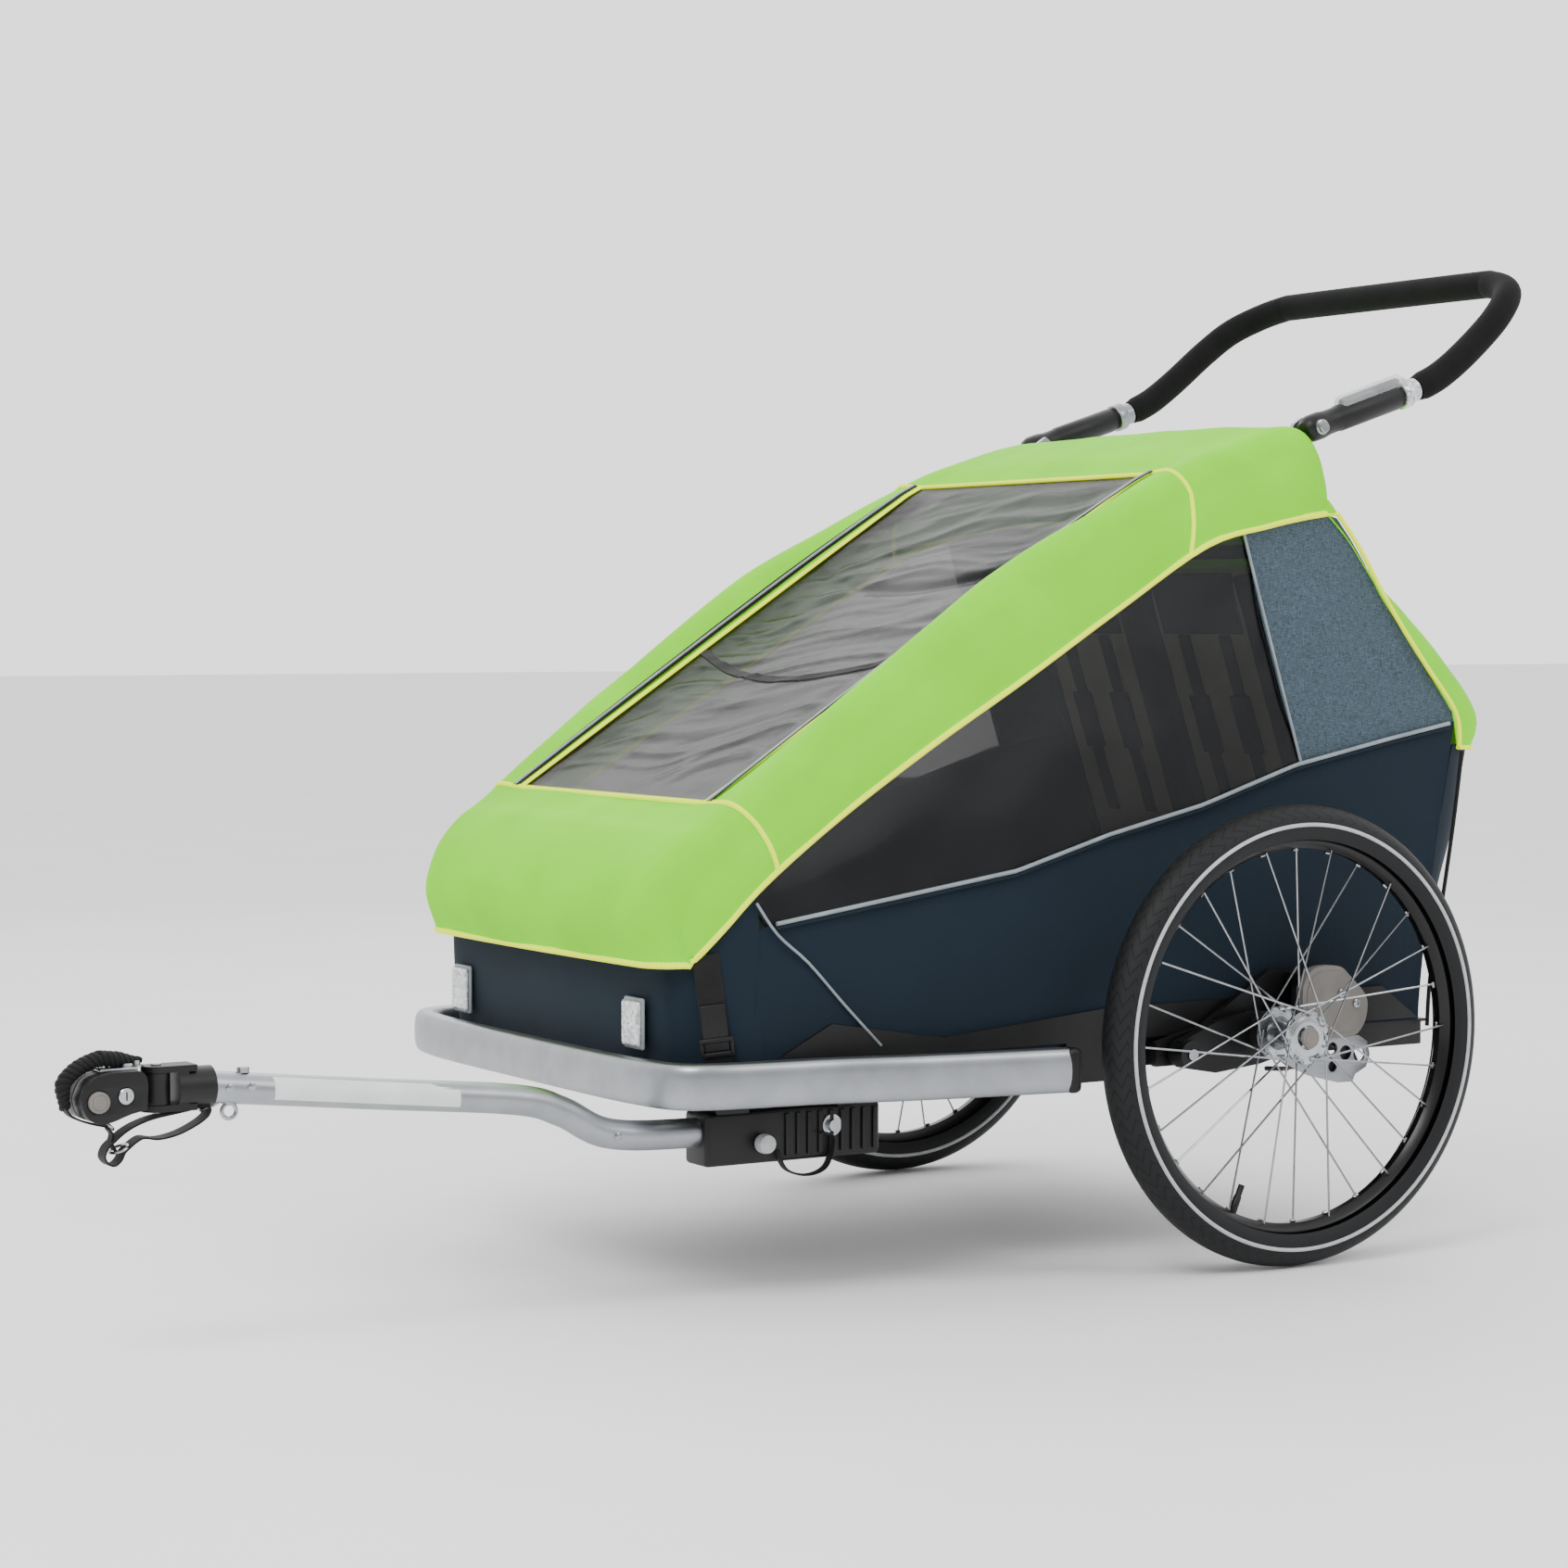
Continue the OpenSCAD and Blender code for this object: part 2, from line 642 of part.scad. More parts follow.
module hub() {
    f = flange_d / 2;
    color("#B9BBC0") on_wheel() difference() {
        rotate_extrude() polygon([[0, inner_flange - 6], [16, inner_flange - 6], [18, inner_flange - 2],
            [f, inner_flange - 2], [f, inner_flange + 2], [18, inner_flange + 3], [15, 0], [18, outer_flange - 3],
            [f, outer_flange - 2], [f, outer_flange + 2], [20, outer_flange + 2], [18, hub_end], [0, hub_end]]);
        translate([0, 0, inner_flange - 10]) cylinder(r = axle_d / 2 + play, h = 80);
        translate([0, 0, hub_end - pocket_depth]) cylinder(r = button_d / 2 + 0.5, h = pocket_depth + 1);
    }
}

module axle_button() {
    low = hub_end - pocket_depth + button_travel + 0.5;
    color("#8D8985") on_wheel() translate([0, 0, low]) cylinder(d = button_d, h = hub_end + 6 - low);
}

// ---- drawbar and hitch ----

function drawbar_route() = smooth([for (p = [[socket_rear - 25, socket_z], [socket_front + 10, socket_z],
    [-745, socket_z + 6], [-800, -40], [-850, -25], [-1000, -9], [tube_end_y, fork_z]])
    [drawbar_x, p[0], p[1]]], 4);

module drawbar_tube() {
    color("#B9BBC0") difference() {
        sweep(drawbar_route(), drawbar_d, drawbar_d, [1, 0, 0], 20);
        rod_x(drawbar_x - drawbar_d, drawbar_x + drawbar_d, [lock_pin_y, lock_pin_z], lock_pin_d / 2 + 0.3);
    }
}

module drawbar_socket() {
    x0 = drawbar_x - socket_w / 2;
    x1 = drawbar_x + socket_w / 2;
    color("#141516") difference() {
        union() {
            block([x0, socket_front, socket_z - socket_drop],
                [x1, socket_rear, socket_z - socket_drop + socket_h]);
            // the mounts reach from the socket to the rail, on whichever side of it the rail is
            for (y = [socket_front + 12, socket_rear - 52])
                block([min(rail_x - rail_w / 2, x1 - mount_lap), y, socket_z - 15],
                    [max(rail_x - rail_w / 2 + mount_lap, x1), y + 40, rail_z]);
        }
        translate([drawbar_x, socket_rear - 20, socket_z]) rotate([90, 0, 0])
            cylinder(d = drawbar_d + 2, h = 400);
        rod_x(x0 - 1, x1 + 1, [lock_pin_y, lock_pin_z], lock_pin_d / 2 + play);
    }
}

module drawbar_pin() {
    x1 = drawbar_x + socket_w / 2;
    at = [lock_pin_y, lock_pin_z];
    color("#C9CBCC") {
        rod_x(drawbar_x - socket_w / 2 - 4, x1 + 4, at, lock_pin_d / 2);
        rod_x(x1 + 0.5, x1 + 14, at, 9);
    }
}

module drawbar_bolts() {
    x1 = drawbar_x + socket_w / 2;
    eye_y = tube_end_y + 48;
    color("#C8CACC") {
        rod_x(x1 + 0.2, x1 + 2, [socket_front + 146, socket_z], 11);
        rod_x(x1 + 2, x1 + 7, [socket_front + 146, socket_z], 6);
        translate([drawbar_x, eye_y - 8, -drawbar_d / 2]) rotate([0, 90, 0]) rotate_extrude() translate([7, 0]) circle(2);
        translate([drawbar_x, eye_y + 6, drawbar_d / 2 + 5]) cylinder(r = 6, h = 5);
    }
}

module drawbar_fork() {
    color("#141516") difference() {
        union() {
            translate([drawbar_x, tube_end_y + 22, fork_z - 1]) rotate([90, 0, 0])
                cylinder(d = drawbar_d + 8, h = 36);
            for (s = [-1, 1]) {
                z = s > 0 ? fork_z + barrel_h / 2 + 0.5 : fork_z - barrel_h / 2 - 0.5 - ear_t;
                translate([drawbar_x, fork_y, z]) cylinder(r = ear_r, h = ear_t);
                block([drawbar_x - ear_r, fork_y, z], [drawbar_x + ear_r, tube_end_y + 4, z + ear_t]);
            }
            block([drawbar_x - ear_r, tube_end_y - 14, fork_z - 20],
                [drawbar_x + ear_r, tube_end_y - 4, fork_z + 20]);
        }
        translate([drawbar_x, fork_y, fork_z - 40]) cylinder(r = 5 + play, h = 80);
        translate([drawbar_x, tube_end_y + 60, fork_z - 1]) rotate([90, 0, 0]) cylinder(d = drawbar_d + 0.6, h = 60);
    }
}

module webbing_strap() {
    top = tube_end_y + 38;
    route = [for (p = [[top - 3, -27], [top - 40, -22], [top - 72, -30], [top - 100, -42], [top - 112, -54],
        [top - 106, -62], [top - 88, -56], [top - 56, -45], [top - 26, -42]]) [drawbar_x, p[0], p[1]]];
    color("#141516") sweep(smooth(route, 3), 20, 2.4, [0, 0, 1], 8);
}

module hitch_knuckle() {
    color("#2A2C2E") difference() {
        union() {
            translate([drawbar_x, fork_y, fork_z - barrel_h / 2]) cylinder(r = ear_r - 1, h = barrel_h);
            translate([drawbar_x, fork_y, fork_z]) rotate([90, 0, 0])
                cylinder(r = roll_pin_r, h = fork_y - hitch_back + roll_pin_l);
        }
        translate([drawbar_x, fork_y, fork_z - barrel_h]) cylinder(r = 5 + play, h = 2 * barrel_h);
    }
}

module hitch_body() {
    outline = [[hitch_back, hitch_low + 10], [hitch_back, hitch_high - 4], [hitch_back - 8, hitch_high],
        [hitch_front + 22, hitch_high], [hitch_front + 6, hitch_high - 8], [hitch_front, hitch_high - 20],
        [hitch_front, hitch_low + 16], [hitch_front + 10, hitch_low + 3], [hitch_front + 26, hitch_low],
        [hitch_back - 16, hitch_low + 3]];
    x0 = drawbar_x - hitch_half_w;
    x1 = drawbar_x + hitch_half_w;
    color("#1B1C1E") difference() {
        side_plate(outline, x0, x1);
        translate([drawbar_x, hitch_back + 1, fork_z]) rotate([90, 0, 0])
            cylinder(r = roll_pin_r + play, h = roll_pin_l + 3);
        rod_x(x0 - 1, x0 + coupling_l, [coupling_y, fork_z], coupling_r);
        rod_x(x1 - 7, x1 + 1, [release_y, release_z], release_r + 0.5);
        rod_x(x1 - 9, x1 + 1, [key_y, fork_z - 2], key_r + play);
    }
}

module safety_strap() {
    nose = braid_r - hitch_reach;
    over = hitch_high + braid_r + 1;
    route = [for (p = [[hitch_back - 8, over], [hitch_back - 32, over + 3], [hitch_front + 18, over + 1],
        [hitch_front + 2, over - 9], [nose + 1, fork_z + 16], [nose, fork_z + 2], [nose + 2, fork_z - 12]])
        [drawbar_x, p[0], p[1]]];
    color("#141516") sweep(smooth(route, 3), 2 * braid_r, 2 * braid_r, [1, 0, 0], 10);
}

module hitch_button() {
    x1 = drawbar_x + hitch_half_w;
    color("#8D8985") rod_x(x1 - 7 + release_travel + 0.5, x1 + 4, [release_y, release_z], release_r);
}

module hitch_lock() {
    x1 = drawbar_x + hitch_half_w;
    color("#B9BBC0") difference() {
        rod_x(x1 - 8.5, x1 + 1.5, [key_y, fork_z - 2], key_r);
        block([x1, key_y - 0.8, fork_z - 6], [x1 + 2, key_y + 0.8, fork_z + 2]);
    }
}

// ---- parking brake ----

module brake_pedal() {
    y = rail_rear + 11;
    color("#B3141B") difference() {
        union() {
            for (x = [-53, 53]) rod_x(x - 7, x + 7, [y, -22], 8);
            for (x = [-53, 53]) block([x - 5, y, -30], [x + 5, y + 34, -22]);
            block([-58, y + 22, -34], [58, y + 56, -24]);
        }
        rod_x(-70, 70, [y, -22], 4 + play);
    }
}

module brake_cables() {
    route = [[70, rear_pivot[0] - 40, -44], [140, rear_pivot[0] - 60, -52], [220, 130, -56],
        [half, 70, -50], [arm_x - 16, 30, -46]];
    color("#141516") both() sweep(smooth(route, 3), 5, 5, [0, 0, 1], 8);
}

// ---- the parts ----

place() side_rails();
place() crossbars();
place() floor_pan();
place() front_bumper();
place() bumper_caps();
place() bumper_brackets();
place() front_reflectors();
place() rear_reflectors();
place() side_panels();
place() front_panel();
place() rear_wall();
place() luggage_pocket();
place() side_windows();
place() rear_cover();
place() seat_cushions();
place() side_skirts();
place() hinge_brackets();
place() hinge_pins();
place() suspension_brackets();
place() suspension_covers();
place() suspension_pad();  // left_suspension_pad
place() right_side() suspension_pad();  // right_suspension_pad
place() drawbar_socket();
place() drawbar_tube();
place() drawbar_bolts();
place() drawbar_fork();
place() webbing_strap();
place() hem_straps();
place() rear_bungees();
place() brake_cables();
place() roof_tubes();
place() canopy();
place() front_screen();
place() handle_brackets();
place() seat_uprights();
place() seat_backs();
place() bar_sleeves();
place() bar_grip();
place() bar_light();
place() swing_arm();  // left_swing_arm
place() right_side() swing_arm();  // right_swing_arm
place() axle();  // left_axle
place() right_side() axle();  // right_axle
place() tyre();  // left_tyre
place() rim();  // left_rim
place() spokes();  // left_spokes
place() hub();  // left_hub
place() right_side() tyre();  // right_tyre
place() right_side() rim();  // right_rim
place() right_side() spokes();  // right_spokes
place() right_side() hub();  // right_hub
place() axle_button();  // left_axle_button
place() right_side() axle_button();  // right_axle_button
place() hitch_knuckle();
place() hitch_body();
place() safety_strap();
place() hitch_button();
place() hitch_lock();
place() drawbar_pin();
place() brake_pedal();
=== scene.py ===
"""A two-seat child bicycle trailer: fabric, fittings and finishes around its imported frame."""
import json
import math

import bmesh
import bpy
from mathutils import Matrix, Vector, noise


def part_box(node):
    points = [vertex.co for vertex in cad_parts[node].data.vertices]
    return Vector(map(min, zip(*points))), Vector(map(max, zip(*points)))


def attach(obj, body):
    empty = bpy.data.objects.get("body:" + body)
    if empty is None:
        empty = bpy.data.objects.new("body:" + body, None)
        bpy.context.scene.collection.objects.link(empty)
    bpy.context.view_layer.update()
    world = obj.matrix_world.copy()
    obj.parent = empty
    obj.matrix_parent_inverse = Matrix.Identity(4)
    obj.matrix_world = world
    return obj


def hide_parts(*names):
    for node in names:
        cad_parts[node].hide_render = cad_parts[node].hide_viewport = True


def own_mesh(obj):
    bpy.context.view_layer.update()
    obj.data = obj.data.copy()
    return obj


bl_info = {
    "name": "Child Bicycle Trailer",
    "version": (1, 0, 0),
    "blender": (4, 5, 0),
    "location": "View3D > Sidebar > Trailer",
    "description": "Builds the covers, seats, wheels and fittings of a child bicycle trailer",
    "category": "Add Mesh",
}

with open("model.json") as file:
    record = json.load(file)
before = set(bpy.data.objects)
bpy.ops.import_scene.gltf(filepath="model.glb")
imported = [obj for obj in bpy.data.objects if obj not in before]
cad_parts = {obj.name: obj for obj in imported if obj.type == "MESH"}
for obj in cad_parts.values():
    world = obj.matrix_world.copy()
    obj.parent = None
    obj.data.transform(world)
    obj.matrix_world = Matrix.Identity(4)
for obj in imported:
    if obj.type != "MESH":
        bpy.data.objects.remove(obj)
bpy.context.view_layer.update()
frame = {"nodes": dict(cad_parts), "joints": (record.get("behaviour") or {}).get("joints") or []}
MM = 0.001


def middle(node):
    """The middle of a CAD node's box, in metres."""
    low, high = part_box(node)
    return (Vector(low) + Vector(high)) / 2


AXLE = middle("left_hub")
SIDES = {"left": 1, "right": -1}


def at(x, y, z):
    """A place given in millimetres from the axle's middle, as a point in the row frame."""
    return Vector((x * MM, AXLE.y + y * MM, AXLE.z + z * MM))


def edge(node, end, axis):
    """One side of a CAD node's box, in millimetres from the axle's middle."""
    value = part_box(node)[end][axis]
    return (value - (0, AXLE.y, AXLE.z)[axis]) / MM


# Outlines in millimetres from the axle's middle, as (y, z), from the front to the rear.
ROOF = [(-700, 97), (-714, 140), (-700, 185), (-665, 222), (-629, 245), (-536, 317), (-415, 406), (-292, 492),
        (-165, 556), (-54, 607), (50, 640), (94, 646), (118, 624), (131, 588), (134, 556)]
# The point of the canopy's lower edge under each point of the roof.
HEM = [(-666, 97), (-663, 101), (-655, 111), (-636, 134), (-592, 178), (-507, 240), (-395, 311), (-285, 375),
       (-165, 448), (-45, 518), (40, 540), (85, 549), (112, 553), (126, 555), (135, 555)]
# Half the width of the roof and of its lower edge, and the roof's edge radius, at each point.
ROOF_HALF = [264, 266, 271, 279, 284, 287, 288, 288, 288, 288, 287, 286, 285, 284, 284]
HEM_HALF = [266, 268, 275, 285, 291, 291, 291, 291, 291, 291, 290, 289, 287, 286, 286]
FILLET = [34, 40, 42, 38, 34, 30, 30, 30, 30, 28, 26, 24, 20, 16, 14]
# The roof's points where the flat front window starts and ends, and the rows from one point to the next
CREASE = 4
REAR_SEAM = 9
ROW_STEPS = 5
CROWN = 7
SILL = [(-600, 128), (-583, 136), (-290, 179), (-172, 213), (-49, 241), (77, 281), (207, 307), (306, 325)]
REAR_EDGE = [(134, 555), (166, 517), (208, 456), (260, 391), (306, 336)]
COVER_MIDDLE = [(128, 556), (196, 505), (268, 452), (342, 388), (386, 330), (372, 294)]
COVER_EDGE = [(127, 552), (166, 514), (210, 455), (262, 390), (306, 336), (314, 296)]
POCKET_MIDDLE = [(366, 296), (345, 205), (312, 110), (288, 42), (283, -6)]
POCKET_EDGE = [(306, 300), (293, 240), (271, 155), (259, 73), (258, -6)]
# The front screen's lower and upper end as (y, z), and half its width there.
SCREEN_LOW = (-618, 250)
SCREEN_HIGH = (-80, 594)
SCREEN_HALF = (207, 223)
# Where the side window ends and the rear gusset starts, at the top and at the foot.
GUSSET_TOP = 8
GUSSET_FOOT = 87
WALL_X = 289


# ---- numbers and meshes ----

def linear(hex_colour, alpha=1.0):
    """An sRGB hex colour as a linear one."""
    values = [int(hex_colour[i:i + 2], 16) / 255 for i in (1, 3, 5)]
    return tuple(v / 12.92 if v <= 0.04045 else ((v + 0.055) / 1.055) ** 2.4 for v in values) + (alpha,)


def mix(a, b, t):
    """A number that share of the way from one to the other."""
    return a + (b - a) * t


def smooth(points, steps):
    """A smooth curve through tuples or vectors, with steps between each two."""
    points = [Vector(p) for p in points]
    last = len(points) - 1
    curve = []
    for i in range(last):
        a, b, c, d = points[max(i - 1, 0)], points[i], points[i + 1], points[min(i + 2, last)]
        for k in range(steps):
            u = k / steps
            curve.append(0.5 * (2 * b + (c - a) * u + (2 * a - 5 * b + 4 * c - d) * u ** 2
                                + (3 * b - a - 3 * c + d) * u ** 3))
    return curve + [points[last]]


def smooth_step(share):
    """An even start and stop: 0 below 0 and 1 above 1."""
    t = min(max(share, 0), 1)
    return t * t * (3 - 2 * t)


def smooth_numbers(values, steps):
    """A smooth run through single numbers."""
    return [v.x for v in smooth([(value, 0) for value in values], steps)]


def height(line, y):
    """The height of an outline at y, straight between its points."""
    for (y0, z0), (y1, z1) in zip(line, line[1:]):
        if y <= y1:
            return mix(z0, z1, max((y - y0) / (y1 - y0), 0))
    return line[-1][1]


def resample(points, count):
    """count points evenly along a line of points."""
    points = [Vector(p) for p in points]
    marks = [0.0]
    for a, b in zip(points, points[1:]):
        marks.append(marks[-1] + (b - a).length)
    out, k = [], 0
    for i in range(count):
        want = marks[-1] * i / (count - 1)
        while k < len(points) - 2 and marks[k + 1] < want:
            k += 1
        share = (want - marks[k]) / max(marks[k + 1] - marks[k], 1e-9)
        out.append(points[k].lerp(points[k + 1], min(max(share, 0), 1)))
    return out


def turns(count):
    """That many angles, evenly round a full turn."""
    return [2 * math.pi * k / count for k in range(count)]


def placed(name, data):
    """A new object, linked to the scene."""
    piece = bpy.data.objects.new(name, data)
    bpy.context.scene.collection.objects.link(piece)
    return piece


def applied_mesh(holder):
    """A plain mesh of an object with its modifiers applied."""
    graph = bpy.context.evaluated_depsgraph_get()
    return bpy.data.meshes.new_from_object(holder.evaluated_get(graph))


def new_piece(name, verts, faces):
    """A mesh object from points and faces."""
    mesh = bpy.data.meshes.new(name)
    mesh.from_pydata([tuple(v) for v in verts], [], faces)
    return placed(name, mesh)


def tidy(piece, merge=0.00002, outward=True):
    """Merges points that meet, drops faces without area and can turn all faces outward."""
    bm = bmesh.new()
    bm.from_mesh(piece.data)
    bmesh.ops.remove_doubles(bm, verts=bm.verts, dist=merge)
    bmesh.ops.dissolve_degenerate(bm, edges=bm.edges, dist=merge / 2)
    if outward:
        bmesh.ops.recalc_face_normals(bm, faces=bm.faces)
    bm.to_mesh(piece.data)
    bm.free()


def grid(name, rows, closed=False, keep=None):
    """A sheet of quads through rows of points; closed joins each row's end to its start."""
    wide = len(rows[0])
    faces, spots = [], []
    for i in range(len(rows) - 1):
        for j in range(wide if closed else wide - 1):
            k = (j + 1) % wide
            if keep is None or keep(i, j):
                faces.append((i * wide + j, i * wide + k, (i + 1) * wide + k, (i + 1) * wide + j))
                spots.append((i, j))
    piece = new_piece(name, [p for row in rows for p in row], faces)
    layer = piece.data.uv_layers.new(name="UVMap")
    for face, (i, j) in zip(piece.data.polygons, spots):
        for loop, (a, b) in zip(face.loop_indices, ((0, 0), (0, 1), (1, 1), (1, 0))):
            layer.data[loop].uv = ((i + a) / (len(rows) - 1), (j + b) / (wide - 1))
    return piece


def face_towards(piece, direction):
    """Turns an open sheet so that it faces a direction."""
    total = sum((p.normal * p.area for p in piece.data.polygons), Vector())
    if total.dot(direction) < 0:
        piece.data.flip_normals()


def thicken(piece, thickness):
    """Gives a sheet its wall, inwards from the face."""
    wall = piece.modifiers.new("wall", "SOLIDIFY")
    wall.thickness = thickness
    wall.offset = -1
    bake(piece)


def bake(piece):
    """Turns a piece's modifiers into plain mesh."""
    made = applied_mesh(piece)
    piece.modifiers.clear()
    piece.data = made


def subdivide(piece, levels=1):
    """Smooths a mesh by subdivision."""
    sub = piece.modifiers.new("smooth", "SUBSURF")
    sub.levels = levels
    sub.render_levels = levels
    bake(piece)


def soften(piece, width, segments=3, angle=30):
    """Rounds the sharp edges."""
    bevel = piece.modifiers.new("edge", "BEVEL")
    bevel.width = width
    bevel.segments = segments
    bevel.limit_method = "ANGLE"
    bevel.angle_limit = math.radians(angle)
    bake(piece)


def frames(path, closed=False):
    """The directions along a path, and two directions across it that don't twist."""
    count = len(path)
    ahead = []
    for i in range(count):
        a = path[i - 1] if i or closed else path[0]
        b = path[(i + 1) % count] if i < count - 1 or closed else path[-1]
        ahead.append((b - a).normalized())
    side = ahead[0].orthogonal().normalized()
    if abs(ahead[0].x) < 0.9:
        side = (Vector((1, 0, 0)) - ahead[0] * ahead[0].x).normalized()
    across = []
    for t in ahead:
        side = (side - t * side.dot(t)).normalized()
        across.append((side, t.cross(side)))
    return ahead, across


def tube(name, path, radius, sides=12, closed=False, flat=1.0, ends=True):
    """A round or flattened bar along a path; radius is a number or a list, one for each point."""
    path = [Vector(p) for p in path]
    _, across = frames(path, closed)
    radii = radius if isinstance(radius, list) else [radius] * len(path)
    rows = []
    for p, (s, n), r in zip(path, across, radii):
        rows.append([p + s * r * math.cos(a) + n * r * flat * math.sin(a) for a in turns(sides)])
    if closed:
        rows.append(rows[0])
    elif ends:
        rows = [[path[0]] * sides] + rows + [[path[-1]] * sides]
    piece = grid(name, rows, closed=True)
    tidy(piece)
    return piece


def lathe(name, profile, centre, axis=(1, 0, 0), segments=64, shape=None):
    """A turned piece: profile is (radius, place along the axis) in millimetres; shape may change a radius."""
    axis = Vector(axis).normalized()
    s = axis.orthogonal().normalized()
    n = axis.cross(s)
    rows = []
    for k in range(segments + 1):
        a = 2 * math.pi * k / segments
        out = s * math.cos(a) + n * math.sin(a)
        row = []
        for j, (r, along) in enumerate(profile):
            r = shape(r, along, k % segments, j) if shape else r
            row.append(centre + out * r * MM + axis * along * MM)
        rows.append(row)
    piece = grid(name, rows)
    tidy(piece)
    return piece


def rounded_box(name, low, high, radius, segments=3):
    """A moulded block between two corners given in millimetres from the axle's middle."""
    low, high = at(*low), at(*high)
    bm = bmesh.new()
    bmesh.ops.create_cube(bm, size=1)
    size = high - low
    bmesh.ops.transform(bm, verts=bm.verts, matrix=Matrix.Translation((low + high) / 2)
                        @ Matrix.Diagonal((abs(size.x), abs(size.y), abs(size.z), 1)))
    bmesh.ops.bevel(bm, geom=bm.edges[:], offset=radius * MM, segments=segments, profile=0.5, affect="EDGES")
    mesh = bpy.data.meshes.new(name)
    bm.to_mesh(mesh)
    bm.free()
    return placed(name, mesh)


def plate(name, outline, x0, x1, radius, holes=()):
    """A plate with an outline of (y, z) points between two places along X, with softened edges."""
    curve = bpy.data.curves.new(name, "CURVE")
    curve.dimensions = "2D"
    curve.fill_mode = "BOTH"
    rings = [list(outline)]
    for y, z, r in holes:
        rings.append([(y + r * math.cos(a), z + r * math.sin(a)) for a in turns(20)])
    for ring in rings:
        line = curve.splines.new("POLY")
        line.points.add(len(ring) - 1)
        line.use_cyclic_u = True
        for point, (y, z) in zip(line.points, ring):
            point.co = (y * MM, z * MM, 0, 1)
    curve.extrude = abs(x1 - x0) * MM / 2
    holder = placed(name + "_outline", curve)
    mesh = applied_mesh(holder)
    bpy.data.objects.remove(holder)
    turned = Matrix(((0, 0, 1, 0), (1, 0, 0, 0), (0, 1, 0, 0), (0, 0, 0, 1)))
    mesh.transform(Matrix.Translation(at((x0 + x1) / 2, 0, 0)) @ turned)
    piece = placed(name, mesh)
    tidy(piece)
    soften(piece, radius * MM)
    return piece


def mirrored(piece, name):
    """A copy on the other side of the trailer."""
    mesh = piece.data.copy()
    mesh.transform(Matrix.Diagonal((-1, 1, 1, 1)))
    mesh.flip_normals()
    return placed(name, mesh)


def both(left, stem):
    """A piece of the left side and its copy on the right."""
    return left, mirrored(left, "right_" + stem)


def ruffle(piece, amount, size, seed=0.0):
    """Moves a cloth's points a little along their normals, as loose fabric waves."""
    shift = Vector((seed, seed * 1.7, seed * 0.6))
    normals = [v.normal.copy() for v in piece.data.vertices]
    for v, n in zip(piece.data.vertices, normals):
        v.co += n * amount * MM * noise.noise(v.co / (size * MM) + shift)


def joined(name, pieces):
    """Several pieces of one finish as one piece."""
    bm = bmesh.new()
    for p in pieces:
        bm.from_mesh(p.data)
        bpy.data.objects.remove(p)
    mesh = bpy.data.meshes.new(name)
    bm.to_mesh(mesh)
    bm.free()
    return placed(name, mesh)


def finish(piece, body, material, nodes=(), fold=None, sharp=40):
    """Gives a piece its material, its body and what it stands for; fold, when given, gives it its own copy of
    its mesh.
    """
    piece.data.materials.clear()
    piece.data.materials.append(material)
    piece.data.shade_smooth()
    piece.data.set_sharp_from_angle(angle=math.radians(sharp))
    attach(piece, body)
    if nodes:
        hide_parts(*nodes)
    if fold is not None:
        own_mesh(piece)
    return piece


# ---- materials ----

def add(tree, kind, inputs=None, **settings):
    """A node with its settings, and its inputs set or linked."""
    node = tree.nodes.new(kind)
    for name, value in settings.items():
        setattr(node, name, value)
    for name, value in (inputs or {}).items():
        if isinstance(value, bpy.types.NodeSocket):
            tree.links.new(value, node.inputs[name])
        else:
            node.inputs[name].default_value = value
    return node


def blank(name):
    """A new material, its node tree, its shader and the object's coordinates."""
    material = bpy.data.materials.new(name)
    material.use_nodes = True
    tree = material.node_tree
    shader = tree.nodes["Principled BSDF"]
    coordinates = add(tree, "ShaderNodeTexCoord").outputs["Object"]
    return material, tree, shader, coordinates


def shaded(colour, share):
    """A colour made that many times as bright."""
    return [min(part * share, 1.0) for part in colour[:3]] + [1.0]


def set_shader(shader, **values):
    """Sets a shader's inputs; an underscore stands for a space."""
    for name, value in values.items():
        shader.inputs[name.replace("_", " ")].default_value = value


def tinted(tree, shader, coordinates, dark, light, scale, detail=4.0):
    """Colours a shader between two colours with soft noise, and returns the noise."""
    cloud = add(tree, "ShaderNodeTexNoise", {"Vector": coordinates, "Scale": scale, "Detail": detail})
    ramp = add(tree, "ShaderNodeValToRGB", {"Fac": cloud.outputs["Fac"]})
    ramp.color_ramp.elements[0].position = 0.35
    ramp.color_ramp.elements[1].position = 0.65
    ramp.color_ramp.elements[0].color = linear(dark) if isinstance(dark, str) else dark
    ramp.color_ramp.elements[1].color = linear(light) if isinstance(light, str) else light
    tree.links.new(ramp.outputs["Color"], shader.inputs["Base Color"])
    return ramp.outputs["Color"]


def bumped(tree, shader, heights, distance, strength=0.5):
    """Relief from heights, that many millimetres deep."""
    bump = add(tree, "ShaderNodeBump", {"Height": heights, "Distance": distance * MM, "Strength": strength})
    tree.links.new(bump.outputs["Normal"], shader.inputs["Normal"])


def weave(tree, coordinates, thread):
    """The height of a plain weave whose threads are that many millimetres apart."""
    scale = 1000 / thread / 20
    warp = add(tree, "ShaderNodeTexWave", {"Vector": coordinates, "Scale": scale}, bands_direction="Y")
    weft = add(tree, "ShaderNodeTexWave", {"Vector": coordinates, "Scale": scale}, bands_direction="Z")
    both = add(tree, "ShaderNodeMath", operation="MAXIMUM")
    tree.links.new(warp.outputs["Fac"], both.inputs[0])
    tree.links.new(weft.outputs["Fac"], both.inputs[1])
    return both.outputs[0]


